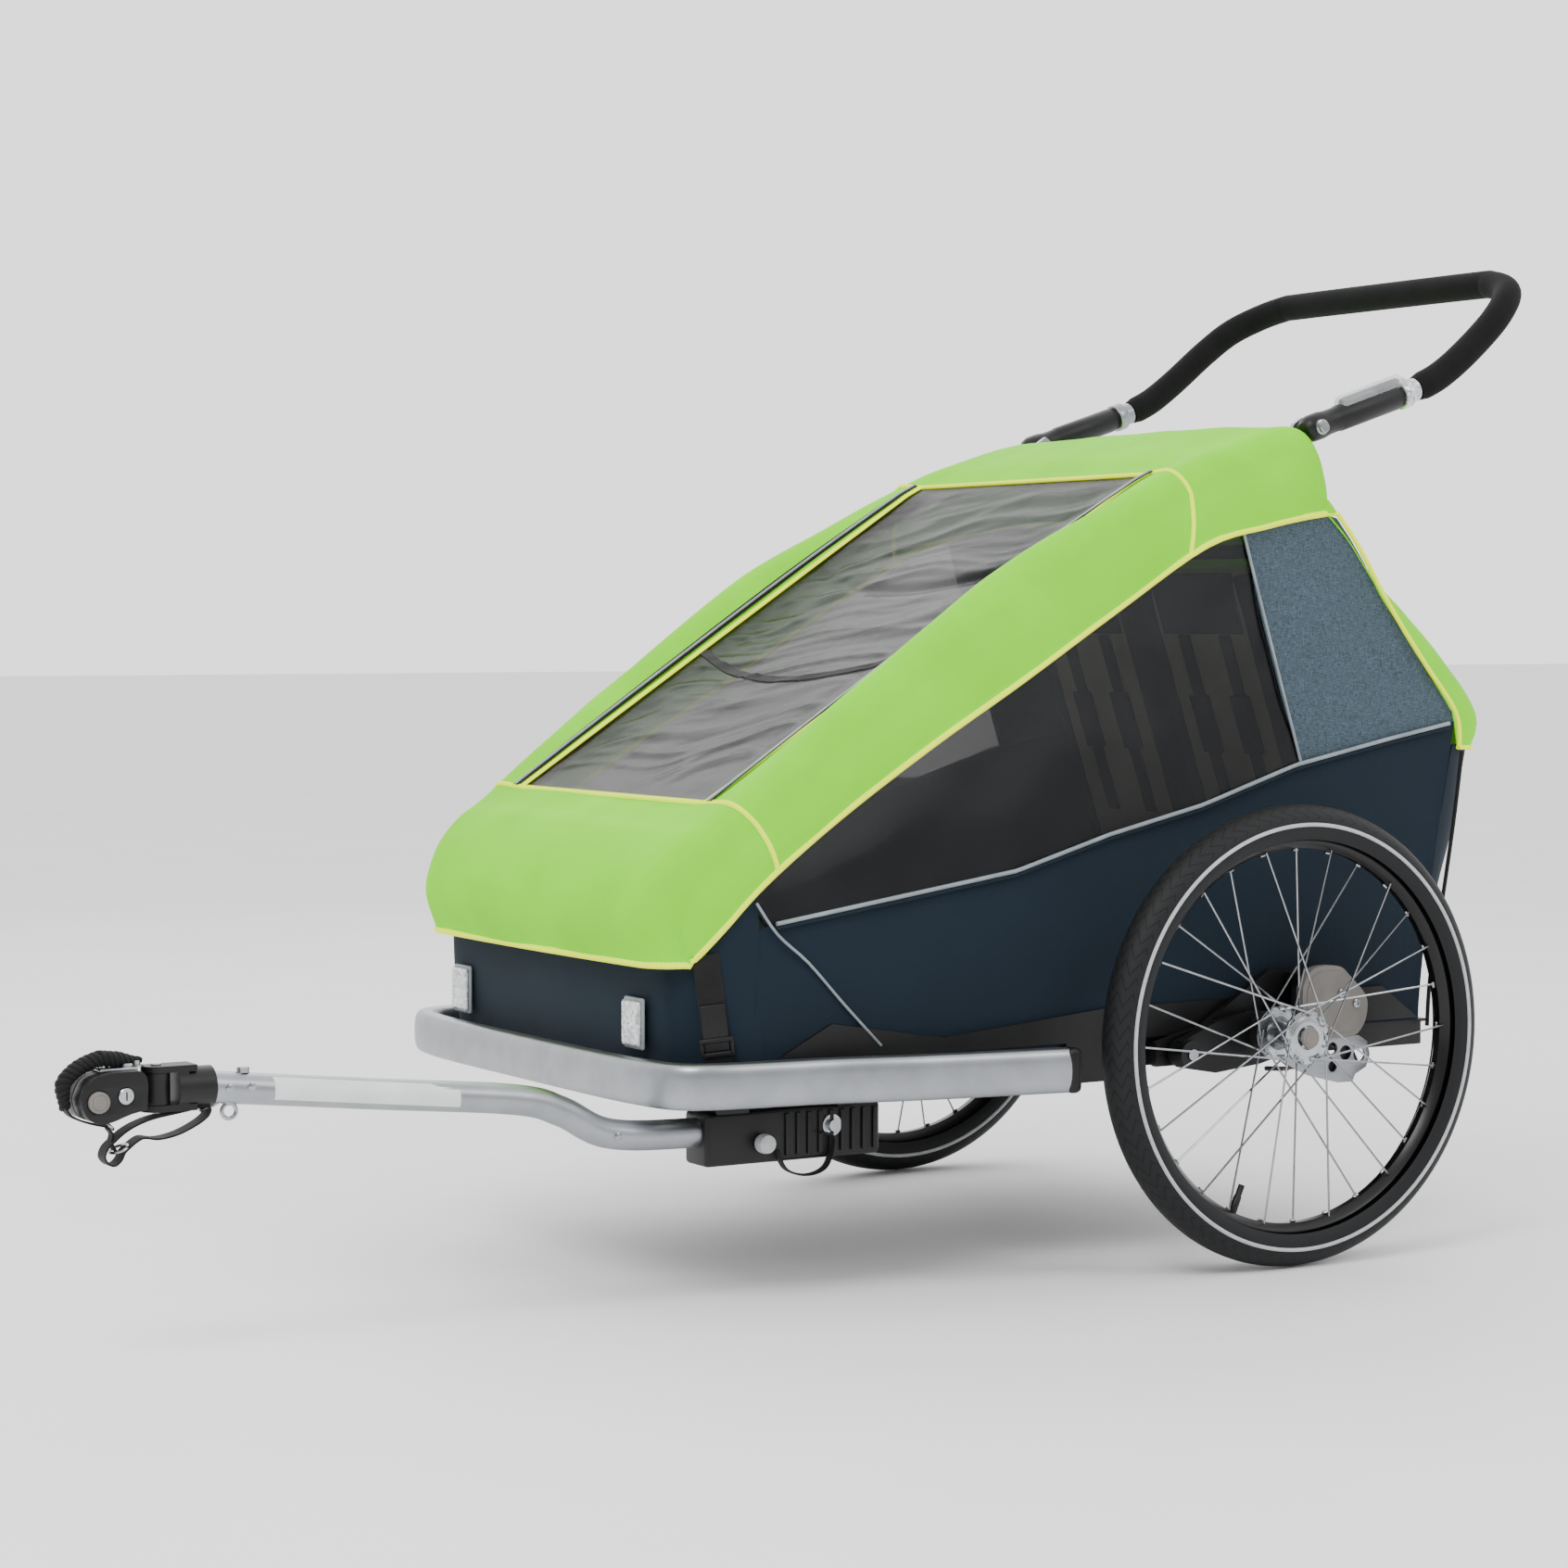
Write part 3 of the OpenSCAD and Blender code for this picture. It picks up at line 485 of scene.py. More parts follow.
def woven(name, colour, thread, depth, roughness, sheen, painted_glow=0.0, shine=0.25):
    """A woven cloth: two tones of yarn, a plain weave in relief, a sheen and a painted glow: emission in the
    lighter yarn's colour, though the cloth is no lamp.
    """
    material, tree, shader, coordinates = blank(name)
    dark, light = shaded(colour, 0.94), shaded(colour, 1.06)
    tinted(tree, shader, coordinates, dark, light, 9)
    threads = weave(tree, coordinates, thread)
    slack = add(tree, "ShaderNodeTexNoise", {"Vector": coordinates, "Scale": 26.0, "Detail": 3.0})
    total = add(tree, "ShaderNodeMath", {1: 0.35, 2: slack.outputs["Fac"]}, operation="MULTIPLY_ADD")
    tree.links.new(threads, total.inputs[0])
    bumped(tree, shader, total.outputs[0], depth, 0.45)
    # Painted glow: the cloth emits light in its lighter yarn's colour.
    set_shader(shader, Roughness=roughness, Sheen_Weight=sheen, Sheen_Roughness=0.45,
               Specular_IOR_Level=shine, Emission_Color=light, Emission_Strength=painted_glow)
    return material


def looks():
    """The colours that the panel sets."""
    return bpy.context.scene.trailer_colours


def sizes():
    """The cloth and seam sizes that the panel sets, in metres."""
    return bpy.context.scene.trailer_sizes


def coated_polyester():
    # PU-coated polyester: bright lime, near matt, with the faint plain weave of the cloth under the coat.
    # Its 0.5 mm threads are drawn 2 mm apart so that they show.
    # It is given a faint painted glow of 0.1.
    return woven("coated_polyester", list(looks().cover), 2.0, 0.5, 0.7, 0.0, 0.1, 0.08)


def neon_binding():
    # Knitted reflective-yellow binding tape folded over the seams.
    # It is given a painted glow of 0.3.
    return woven("neon_binding", list(looks().binding), 1.6, 0.4, 0.6, 0.0, 0.3, 0.1)


def navy_laminate():
    # Woven polyester laminated to foam: deep navy with a short, dull nap.
    return woven("navy_laminate", list(looks().tub), 1.8, 0.5, 0.85, 0.04)


def melange_canvas():
    # Melange canvas: grey-green yarns of two dyes, so that fine flecks run along both threads.
    material, tree, shader, coordinates = blank("melange_canvas")
    streaks = []
    for stretch in ((1500.0, 1500.0, 160.0), (1500.0, 160.0, 1500.0)):
        turned = add(tree, "ShaderNodeMapping", {"Vector": coordinates, "Scale": stretch})
        yarn = add(tree, "ShaderNodeTexNoise",
                   {"Vector": turned.outputs["Vector"], "Scale": 1.0, "Detail": 2.0})
        streaks.append(yarn.outputs["Fac"])
    flecks = add(tree, "ShaderNodeMath", {0: streaks[0], 1: streaks[1]}, operation="ADD")
    ramp = add(tree, "ShaderNodeMapRange",
               {"Value": flecks.outputs[0], "From Min": 0.8, "From Max": 1.2, "To Min": 0.0, "To Max": 1.0})
    colour = add(tree, "ShaderNodeMix", {"Factor": ramp.outputs["Result"], 6: shaded(looks().canvas, 0.6),
                                         7: shaded(looks().canvas, 1.6)}, data_type="RGBA")
    tree.links.new(colour.outputs[2], shader.inputs["Base Color"])
    bumped(tree, shader, weave(tree, coordinates, 1.8), 0.5, 0.4)
    set_shader(shader, Roughness=0.85, Sheen_Weight=0.08, Specular_IOR_Level=0.3)
    return material


def tinted_film():
    # Smoked vinyl film: glossy, see-through and faintly rippled by its stitching.
    material, tree, shader, coordinates = blank("tinted_film")
    ripple = add(tree, "ShaderNodeTexNoise", {"Vector": coordinates, "Scale": 9.0, "Detail": 2.0})
    bumped(tree, shader, ripple.outputs["Fac"], 4.0, 0.35)
    set_shader(shader, Base_Color=linear("#0B0D12"), Roughness=0.18, Alpha=0.52)
    return material


def screen_film():
    # Fine black mesh behind a clear rain film: dark, half see-through, glossy where the film wrinkles.
    material, tree, shader, coordinates = blank("screen_film")
    stretched = add(tree, "ShaderNodeMapping", {"Vector": coordinates, "Scale": (5.0, 13.0, 13.0)})
    folds = add(tree, "ShaderNodeTexNoise",
                {"Vector": stretched.outputs["Vector"], "Scale": 1.6, "Detail": 5.0, "Distortion": 0.7})
    tinted(tree, shader, coordinates, "#151418", "#1B1A1F", 14)
    bumped(tree, shader, folds.outputs["Fac"], 5.0, 0.4)
    set_shader(shader, Roughness=0.3, Alpha=0.6, Specular_IOR_Level=0.12)
    return material


def satin_aluminium():
    # Bead-blasted, silver-anodised aluminium: an even satin without grain.
    material, tree, shader, coordinates = blank("satin_aluminium")
    tinted(tree, shader, coordinates, "#96999E", "#A0A3A8", 30)
    grit = add(tree, "ShaderNodeTexNoise", {"Vector": coordinates, "Scale": 900.0, "Detail": 1.0})
    bumped(tree, shader, grit.outputs["Fac"], 0.05, 0.25)
    set_shader(shader, Metallic=1.0, Roughness=0.38)
    return material


def polished_aluminium():
    # Turned and polished aluminium: bright, with fine rings left by the lathe.
    material, tree, shader, coordinates = blank("polished_aluminium")
    tinted(tree, shader, coordinates, "#A3A6AA", "#B4B7BA", 60)
    rings = add(tree, "ShaderNodeTexWave", {"Vector": coordinates, "Scale": 60.0}, bands_direction="X")
    bumped(tree, shader, rings.outputs["Fac"], 0.05, 0.3)
    set_shader(shader, Metallic=1.0, Roughness=0.2)
    return material


def stainless():
    # Drawn stainless steel: bright, slightly streaked.
    material, tree, shader, coordinates = blank("stainless_steel")
    tinted(tree, shader, coordinates, "#95989C", "#A6A9AD", 80)
    set_shader(shader, Metallic=1.0, Roughness=0.25)
    return material


def moulded(name, dark, light, roughness, grain=0.6, depth=0.05, shine=0.35):
    """A moulded or coated surface: an even colour with the fine grain that its tool leaves."""
    material, tree, shader, coordinates = blank(name)
    tinted(tree, shader, coordinates, dark, light, 35)
    spark = add(tree, "ShaderNodeTexNoise", {"Vector": coordinates, "Scale": 1000 / grain, "Detail": 2.0})
    bumped(tree, shader, spark.outputs["Fac"], depth, 0.5)
    set_shader(shader, Roughness=roughness, Specular_IOR_Level=shine)
    return material


def tyre_rubber():
    # Tyre rubber: black and dull; a zigzag of fine grooves, 90 to the turn, runs over the tread, painted
    # darker than the rubber as painted shade in the grooves.
    material, tree, shader, _ = blank("tyre_rubber")
    around = add(tree, "ShaderNodeSeparateXYZ", {"Vector": add(tree, "ShaderNodeUVMap").outputs["UV"]})
    turn, across = around.outputs["X"], around.outputs["Y"]
    from_middle = add(tree, "ShaderNodeMath", {0: across, 1: 0.5}, operation="SUBTRACT").outputs[0]
    away = add(tree, "ShaderNodeMath", {0: from_middle}, operation="ABSOLUTE").outputs[0]
    slant = add(tree, "ShaderNodeMath", {0: away, 1: 0.08}, operation="PINGPONG")
    slant = add(tree, "ShaderNodeMath", {0: slant.outputs[0], 1: 11.0}, operation="MULTIPLY").outputs[0]
    count = add(tree, "ShaderNodeMath", {0: turn, 1: 90.0, 2: slant}, operation="MULTIPLY_ADD").outputs[0]
    part = add(tree, "ShaderNodeMath", {0: count}, operation="FRACT").outputs[0]
    rubber = add(tree, "ShaderNodeMath", {0: part, 1: 0.14}, operation="GREATER_THAN").outputs[0]
    outside = add(tree, "ShaderNodeMath", {0: away, 1: 0.27}, operation="GREATER_THAN").outputs[0]
    top = add(tree, "ShaderNodeMath", {0: rubber, 1: outside}, operation="MAXIMUM").outputs[0]
    # Painted shade: the grooves are coloured darker than the rubber top.
    painted_groove_shade = add(tree, "ShaderNodeMix", {"Factor": top, 6: linear("#040404"), 7: linear("#17181A")},
                data_type="RGBA")
    tree.links.new(painted_groove_shade.outputs[2], shader.inputs["Base Color"])
    bumped(tree, shader, top, 1.6, 1.0)
    set_shader(shader, Roughness=0.6, Specular_IOR_Level=0.25)
    return material


def prismatic():
    # Clear acrylic reflector: small cube-corner prisms, each square cell painted a random grey to near white
    # as a painted glint.
    material, tree, shader, coordinates = blank("prismatic_acrylic")
    cells = add(tree, "ShaderNodeTexVoronoi", {"Vector": coordinates, "Scale": 260.0}, distance="CHEBYCHEV")
    # Painted glints: each cell is coloured a random grey to near white.
    ramp = add(tree, "ShaderNodeValToRGB", {"Fac": cells.outputs["Color"]})
    ramp.color_ramp.elements[0].color = linear("#8B8F94")
    ramp.color_ramp.elements[1].color = linear("#F4F6F8")
    tree.links.new(ramp.outputs["Color"], shader.inputs["Base Color"])
    bumped(tree, shader, cells.outputs["Distance"], 1.2, 0.8)
    set_shader(shader, Roughness=0.15, Metallic=0.35, Coat_Weight=1.0, Coat_Roughness=0.05)
    return material


def clear_cover():
    # Clear polycarbonate: thin, glossy and slightly grey.
    material, tree, shader, coordinates = blank("clear_polycarbonate")
    tinted(tree, shader, coordinates, "#C9CED2", "#DDE1E4", 40)
    set_shader(shader, Roughness=0.08, Alpha=0.35)
    return material


def spun_webbing():
    # Woven nylon webbing: ribs about 2 mm apart across the strap.
    material, tree, shader, coordinates = blank("nylon_webbing")
    tinted(tree, shader, coordinates, "#060607", "#0C0C0D", 50)
    bumped(tree, shader, weave(tree, coordinates, 2.4), 0.6, 0.6)
    set_shader(shader, Roughness=0.75, Sheen_Weight=0.06, Specular_IOR_Level=0.3)
    return material


def seat_mesh():
    # Spacer mesh: warm brown-grey knit with a round hole about every 4 mm; the holes are painted a little
    # darker than the knit, as painted shade in them.
    material, tree, shader, coordinates = blank("spacer_mesh")
    holes = add(tree, "ShaderNodeTexVoronoi", {"Vector": coordinates, "Scale": 250.0, "Randomness": 0.1})
    # Painted shade: the middle of each hole is coloured darker than the knit.
    ramp = add(tree, "ShaderNodeValToRGB", {"Fac": holes.outputs["Distance"]})
    ramp.color_ramp.elements[0].position = 0.2
    ramp.color_ramp.elements[1].position = 0.5
    ramp.color_ramp.elements[0].color = shaded(looks().seat, 0.92)
    ramp.color_ramp.elements[1].color = shaded(looks().seat, 1.08)
    tree.links.new(ramp.outputs["Color"], shader.inputs["Base Color"])
    bumped(tree, shader, holes.outputs["Distance"], 1.0, 0.15)
    set_shader(shader, Roughness=0.9, Sheen_Weight=0.2)
    return material


def bead_stripe():
    # Reflective stripe: glass beads in a pale grey band, bright and even.
    material, tree, shader, coordinates = blank("reflective_stripe")
    tinted(tree, shader, coordinates, "#A9ACAE", "#B6B9BB", 120)
    set_shader(shader, Roughness=0.4)
    return material


def blank_label():
    # White vinyl label with nothing printed on it.
    return moulded("white_vinyl", "#D9DBDD", "#E4E6E7", 0.35, 0.8, 0.02)


def make_materials():
    """Every material, by a short name."""
    return {
        "lime": coated_polyester(), "binding": neon_binding(), "navy": navy_laminate(),
        "melange": melange_canvas(), "film": tinted_film(), "screen": screen_film(),
        "alloy": satin_aluminium(), "polished": polished_aluminium(), "steel": stainless(),
        "webbing": spun_webbing(), "mesh": seat_mesh(), "prism": prismatic(), "clear": clear_cover(),
        "stripe": bead_stripe(), "label": blank_label(),
        # Powder-coated aluminium tube: black with a light orange-peel.
        "black_tube": moulded("black_powder_coat", "#0A0A0B", "#0F0F10", 0.42, 1.5, 0.06),
        # Glass-filled nylon: near black with a sparked grain.
        "black": moulded("black_nylon", "#08080A", "#0D0D0F", 0.45),
        # Warm grey ABS of the covers and buttons.
        "grey": moulded("grey_abs", "#6F6B67", "#787470", 0.45),
        # Silver-grey reflective piping.
        "silver_piping": moulded("silver_piping", "#7C868C", "#8D979C", 0.4, 1.0, 0.05),
        # Black-anodised aluminium rim: dark with a soft shine.
        "rim": moulded("black_anodised", "#060607", "#0B0B0C", 0.3, 1.2, 0.02),
        # EVA foam grip: soft and matt, with closed cells under a millimetre across.
        "foam": moulded("eva_foam", "#0B0B0C", "#101011", 0.85, 0.9, 0.2, 0.2),
        "rubber": tyre_rubber(),
        # Cast polyurethane spring pad.
        "pad": moulded("cast_polyurethane", "#1B1C1E", "#222325", 0.6),
        # Red acrylic of the rear reflectors and the pedal.
        "red": moulded("red_acrylic", "#8E070E", "#A00C13", 0.25, 2.0, 0.1),
    }


MATERIALS = {}


# ---- canopy ----

def canopy_rows():
    """Rows of points across the canopy, each from the left hem over the roof to the right hem."""
    roof = smooth(ROOF, ROW_STEPS)
    hem = smooth(HEM, ROW_STEPS)
    width = smooth_numbers(ROOF_HALF, ROW_STEPS)
    hem_width = smooth_numbers(HEM_HALF, ROW_STEPS)
    fillet = smooth_numbers(FILLET, ROW_STEPS)
    rows = []
    for i, p in enumerate(roof):
        ahead = roof[min(i + 1, len(roof) - 1)] - roof[max(i - 1, 0)]
        level = max(1 - i / ROW_STEPS, 0)
        inward = Vector((ahead.y, -ahead.x)).normalized().lerp(Vector((1, 0)), level).normalized()
        share = min(max((p.x - SCREEN_LOW[0]) / (SCREEN_HIGH[0] - SCREEN_LOW[0]), 0), 1)
        edge_x = mix(*SCREEN_HALF, share)
        in_window = CREASE * ROW_STEPS <= i <= REAR_SEAM * ROW_STEPS
        plane = mix(SCREEN_LOW[1], SCREEN_HIGH[1], share)
        depth = max((p.y - plane) * 0.83, 0) if in_window else 0
        from_seam = min(abs(i - CREASE * ROW_STEPS), abs(i - REAR_SEAM * ROW_STEPS), ROW_STEPS)
        crown = 0 if in_window else CROWN * from_seam / ROW_STEPS
        rows.append(cross_row(p, inward, width[i], fillet[i], hem[i], hem_width[i], edge_x, depth, crown))
    return rows


TOP_COLUMNS = 8
SHOULDER_COLUMNS = 4
FILLET_COLUMNS = 5
FLAP_COLUMNS = 8


def cross_row(p, inward, width, fillet, hem, hem_width, edge_x, depth, crown):
    """One row of the canopy: the roof, its shoulder, the rounded edge and the flap down to the hem."""
    half = []
    inner = width - fillet
    for k in range(TOP_COLUMNS + 1):
        x = edge_x * k / TOP_COLUMNS
        lift = crown * (1 - (x / width) ** 2)
        half.append((x, p + inward * (depth - lift)))
    for k in range(1, SHOULDER_COLUMNS + 1):
        t = k / SHOULDER_COLUMNS
        x = mix(edge_x, inner, t)
        lift = crown * (1 - (x / width) ** 2)
        fall = depth * (1 - t) ** 2 * (1 + t)
        half.append((x, p + inward * (fall - lift)))
    lift = crown * (1 - (inner / width) ** 2)
    for k in range(1, FILLET_COLUMNS + 1):
        a = math.pi / 2 * k / FILLET_COLUMNS
        half.append((inner + fillet * math.sin(a), p + inward * (fillet * (1 - math.cos(a)) - lift)))
    x0, q0 = half[-1]
    for k in range(1, FLAP_COLUMNS + 1):
        t = k / FLAP_COLUMNS
        bulge = 5 * math.sin(math.pi * t)
        half.append((mix(x0, hem_width, t) + bulge, q0.lerp(hem, t)))
    left = [at(x, q.x, q.y) for x, q in reversed(half)]
    right = [at(-x, q.x, q.y) for x, q in half[1:]]
    return left + right


HALF_COLUMNS = TOP_COLUMNS + SHOULDER_COLUMNS + FILLET_COLUMNS + FLAP_COLUMNS


def build_canopy():
    """The canopy's shell with its binding, piping and stitches."""
    rows = canopy_rows()
    low_row = CREASE * ROW_STEPS + 1
    high_row = REAR_SEAM * ROW_STEPS - 1

    def outside_window(i, j):
        return not (low_row <= i < high_row and abs(j + 0.5 - HALF_COLUMNS) < TOP_COLUMNS)

    shell = grid("canopy_shell", rows, keep=outside_window)
    tidy(shell, outward=False)
    face_towards(shell, Vector((0, -0.5, 1)))
    ruffle(shell, 2.6, 90, 3.0)
    ruffle(shell, 1.0, 28, 8.0)
    subdivide(shell)
    thicken(shell, sizes().cover)
    finish(shell, "roof_frame", MATERIALS["lime"], ["canopy"])

    left = [row[0] for row in rows]
    right = [row[-1] for row in rows]
    hem_path = left[::-1] + rows[0][1:-1] + right
    crease = rows[CREASE * ROW_STEPS + 1]
    seam = rows[REAR_SEAM * ROW_STEPS - 1]
    lines = {
        "hem_binding": (hem_path, 3.3), "crease_piping": (crease, 2.7), "roof_seam_piping": (seam, 2.4),
        "rear_lip_binding": (rows[-1], 2.8),
    }
    edge_column = HALF_COLUMNS - TOP_COLUMNS
    for side, column in (("left", edge_column), ("right", HALF_COLUMNS + TOP_COLUMNS)):
        lines[side + "_screen_piping"] = ([rows[i][column] for i in range(low_row, high_row + 1)], 2.5)
    for name, (path, radius) in lines.items():
        piping = tube(name, resample(path, max(len(path) * 2, 40)), radius * MM, 8)
        finish(piping, "roof_frame", MATERIALS["binding"])
        stitches(name + "_stitches", path, sizes().stitch / MM, radius + 0.4, "roof_frame",
                 MATERIALS["binding"])
    return rows, low_row, high_row, edge_column


def build_screen(rows, low_row, high_row, edge_column):
    """The front screen, with the wrinkles of a film that is rolled up often, and a dark strip laid across it
    as the painted shade of a sag fold.
    """
    across, along = 64, 120
    left = resample([rows[i][edge_column] for i in range(low_row, high_row + 1)], along + 1)
    right = resample([rows[i][HALF_COLUMNS + TOP_COLUMNS] for i in range(low_row, high_row + 1)], along + 1)
    normal = (left[-1] - left[0]).cross(right[0] - left[0]).normalized()
    if normal.z < 0:
        normal = -normal

    def surface(v, u):
        """A point of the screen, by its share of the way up and across."""
        row = min(int(v * along), along - 1)
        part = v * along - row
        border = min(math.sin(math.pi * u) * 3, 1) * min(math.sin(math.pi * v) * 3, 1)
        warp = 0.35 * noise.noise(Vector((u * 3, v * 4, 9.0)))
        fold = 1 - abs(noise.noise(Vector((u * 1.3 + warp, v * 13 + u * 2.4 + warp * 2, 1.0)))) * 2
        fine = 1 - abs(noise.noise(Vector((u * 2.4 + v * 2, v * 36 + u * 7 + warp * 4, 4.0)))) * 2
        sag = math.exp(-((v - 0.72 + 0.07 * math.sin(math.pi * u)) / 0.014) ** 2)
        sink = -7.0 * border + border * (3.6 * fold ** 3 + 1.3 * fine ** 3 - 4.0 * sag)
        a, b = left[row].lerp(left[row + 1], part), right[row].lerp(right[row + 1], part)
        return a.lerp(b, u) + normal * (sink - 0.8) * MM

    sheet = [[surface(i / along, j / across) for j in range(across + 1)] for i in range(along + 1)]
    # A dark webbing strip laid across the screen where a sag fold shades it: painted shade of the fold.
    band = []
    for j in range(across + 1):
        u = j / across
        start = 0.43 - 0.07 * math.sin(math.pi * u)
        band.append([surface(start + k * 0.008, u) + normal * 1.3 * MM for k in range(3)])
    tape = grid("screen_fold_shadow", band)
    face_towards(tape, normal)
    thicken(tape, 0.8 * MM)
    finish(tape, "roof_frame", MATERIALS["webbing"])
    screen = grid("front_screen_film", sheet)
    face_towards(screen, Vector((0, -0.5, 1)))
    subdivide(screen)
    thicken(screen, 0.7 * MM)
    finish(screen, "roof_frame", MATERIALS["screen"], ["front_screen"], sharp=60)
    for side, line, outward, column in (("left", left, 1, edge_column - 1),
                                        ("right", right, -1, HALF_COLUMNS + TOP_COLUMNS + 1)):
        shoulder = resample([rows[i][column] for i in range(low_row, high_row + 1)], along + 1)
        yellow = grid(side + "_screen_tape", [
            [p + Vector((-outward * w * MM, 0, 0)) + normal * 1.1 * MM for w in (1, 3, 5, 7)] for p in line])
        face_towards(yellow, normal)
        thicken(yellow, 0.8 * MM)
        finish(yellow, "roof_frame", MATERIALS["binding"])
        rows_out = []
        for p, q in zip(line, shoulder):
            step = (q - p).normalized()
            up = normal * 3.2 * MM
            rows_out.append([p + step * w * MM + up for w in (4, 7, 10, 13)])
        zip_tape = grid(side + "_zip_tape", rows_out)
        face_towards(zip_tape, normal)
        thicken(zip_tape, 1.0 * MM)
        finish(zip_tape, "roof_frame", MATERIALS["webbing"])
        teeth = [row[1].lerp(row[2], 0.5) + normal * 0.5 * MM for row in rows_out]
        finish(tube(side + "_zip_coil", teeth, 2.4 * MM, 8, flat=0.6), "roof_frame",
               MATERIALS["silver_piping"])


# ---- repeated stitches and nipples, made by Geometry Nodes ----

def repeat_tree(name, kind, size, material):
    """A tree that sets small rods along the object's curve, at a named spacing."""
    tree = bpy.data.node_groups.new(name, "GeometryNodeTree")
    tree.interface.new_socket("Geometry", in_out="INPUT", socket_type="NodeSocketGeometry")
    tree.interface.new_socket("Spacing", in_out="INPUT", socket_type="NodeSocketFloat")
    tree.interface.new_socket("Geometry", in_out="OUTPUT", socket_type="NodeSocketGeometry")
    source = tree.nodes.new("NodeGroupInput")
    result = tree.nodes.new("NodeGroupOutput")
    points = add(tree, "GeometryNodeCurveToPoints",
                 {"Curve": source.outputs["Geometry"], "Length": source.outputs["Spacing"]}, mode="LENGTH")
    if kind == "rod":
        shape = add(tree, "GeometryNodeMeshCylinder",
                    {"Vertices": 6, "Radius": size[0] * MM, "Depth": size[1] * MM})
    else:
        shape = add(tree, "GeometryNodeMeshIcoSphere", {"Radius": size[0] * MM, "Subdivisions": 2})
    placed = add(tree, "GeometryNodeInstanceOnPoints", {
        "Points": points.outputs["Points"], "Instance": shape.outputs["Mesh"],
        "Rotation": points.outputs["Rotation"]})
    real = add(tree, "GeometryNodeRealizeInstances", {"Geometry": placed.outputs["Instances"]})
    painted = add(tree, "GeometryNodeSetMaterial",
                  {"Geometry": real.outputs["Geometry"], "Material": material})
    tree.links.new(painted.outputs["Geometry"], result.inputs["Geometry"])
    return tree


def repeated(name, path, spacing, kind, size, material, closed=False):
    """A piece of small shapes set evenly along a path."""
    curve = bpy.data.curves.new(name, "CURVE")
    curve.dimensions = "3D"
    line = curve.splines.new("POLY")
    line.points.add(len(path) - 1)
    line.use_cyclic_u = closed
    for point, p in zip(line.points, path):
        point.co = (*p, 1)
    holder = placed(name, curve)
    tree = repeat_tree(name, kind, size, material)
    modifier = holder.modifiers.new("repeat", "NODES")
    modifier.node_group = tree
    spacing_socket = next(s for s in tree.interface.items_tree if s.name == "Spacing").identifier
    modifier[spacing_socket] = spacing * MM
    mesh = applied_mesh(holder)
    bpy.data.objects.remove(holder)
    return placed(name, mesh)


def stitches(name, path, spacing, lift, body, material):
    """Thread showing along a seam, a little proud of it."""
    route = [Vector(p) + Vector((0, 0, lift * MM)) for p in path]
    piece = repeated(name, route, spacing, "rod", (0.35, spacing * 0.6), material)
    finish(piece, body, material)


# ---- fabric tub ----

# The height that the folding cloth keeps, and the share of its own height that is left above it
TUB_FOLD = (15, 0.2)
TUB_FRONT = -603
TUB_REAR = 306


def window_top(y):
    """The height of the side windows' upper edge."""
    hem = [(-604, 168)] + [p for p in HEM[4:] if p[0] < 134] + REAR_EDGE
    return height(hem, y)


def build_windows():
    """Smoked side window and melange gusset of each side, with the piping round them."""
    rows_up, columns = 14, 40
    film, gusset, front_line = [], [], []
    for r in range(rows_up + 1):
        v = r / rows_up
        split = mix(GUSSET_FOOT, GUSSET_TOP, v)
        film.append([side_point(mix(TUB_FRONT, split, k / columns), v, 5) for k in range(columns + 1)])
        gusset.append([side_point(mix(split, TUB_REAR, k / 16), v, 3) for k in range(17)])
        front_line.append(side_point(split, v, 0) + Vector((1.5 * MM, 0, 0)))
    pieces = {
        "window": (grid("left_window", film), "window_film", MATERIALS["film"], 0.8),
        "gusset": (grid("left_gusset", gusset), "navy_fabric", MATERIALS["melange"], 1.4),
    }
    for part, (left, slot, material, wall) in pieces.items():
        tidy(left, outward=False)
        face_towards(left, Vector((1, 0, 0)))
        ruffle(left, 2.4 if part == "window" else 1.2, 70, 5.0)
        thicken(left, wall * MM)
        for piece in both(left, part):
            finish(piece, "chassis", material, ["side_windows"], TUB_FOLD, 60)
    sill = [at(WALL_X + 2.5, y, height(SILL, y)) for y in range(-580, 305, 12)]
    dark_sill = [p - Vector((0, 0, 4.5 * MM)) for p in sill]
    rear = [at(WALL_X + 1.5, y, z) for y, z in smooth(REAR_EDGE + [(312, 298)], 4)]
    seam_points = [(-604, 158), (-580, 126), (-544, 96), (-502, 52), (-458, 8)]
    low_seam = [at(WALL_X + 4.5, y, z) for y, z in smooth(seam_points, 4)]
    lines = {
        "sill_piping": (sill, 2.3, "silver_piping"), "sill_cord": (dark_sill, 1.8, "navy"),
        "gusset_piping": (front_line, 1.6, "silver_piping"), "rear_edge_piping": (rear, 2.6, "binding"),
        "wall_seam_piping": (low_seam, 1.5, "silver_piping"),
    }
    for name, (path, radius, finish_name) in lines.items():
        left = tube("left_" + name, path, radius * MM, 8)
        for piece in both(left, name):
            finish(piece, "chassis", MATERIALS[finish_name], fold=TUB_FOLD)


def side_point(y, v, sag):
    """A point of a side window, that share of the way up."""
    z = mix(height(SILL, y), window_top(y), v)
    along = (y - TUB_FRONT) / (TUB_REAR - TUB_FRONT)
    hollow = sag * math.sin(math.pi * v) * min(math.sin(math.pi * along) * 3, 1)
    return at(WALL_X - 2 - hollow - 2 * v, y, z)


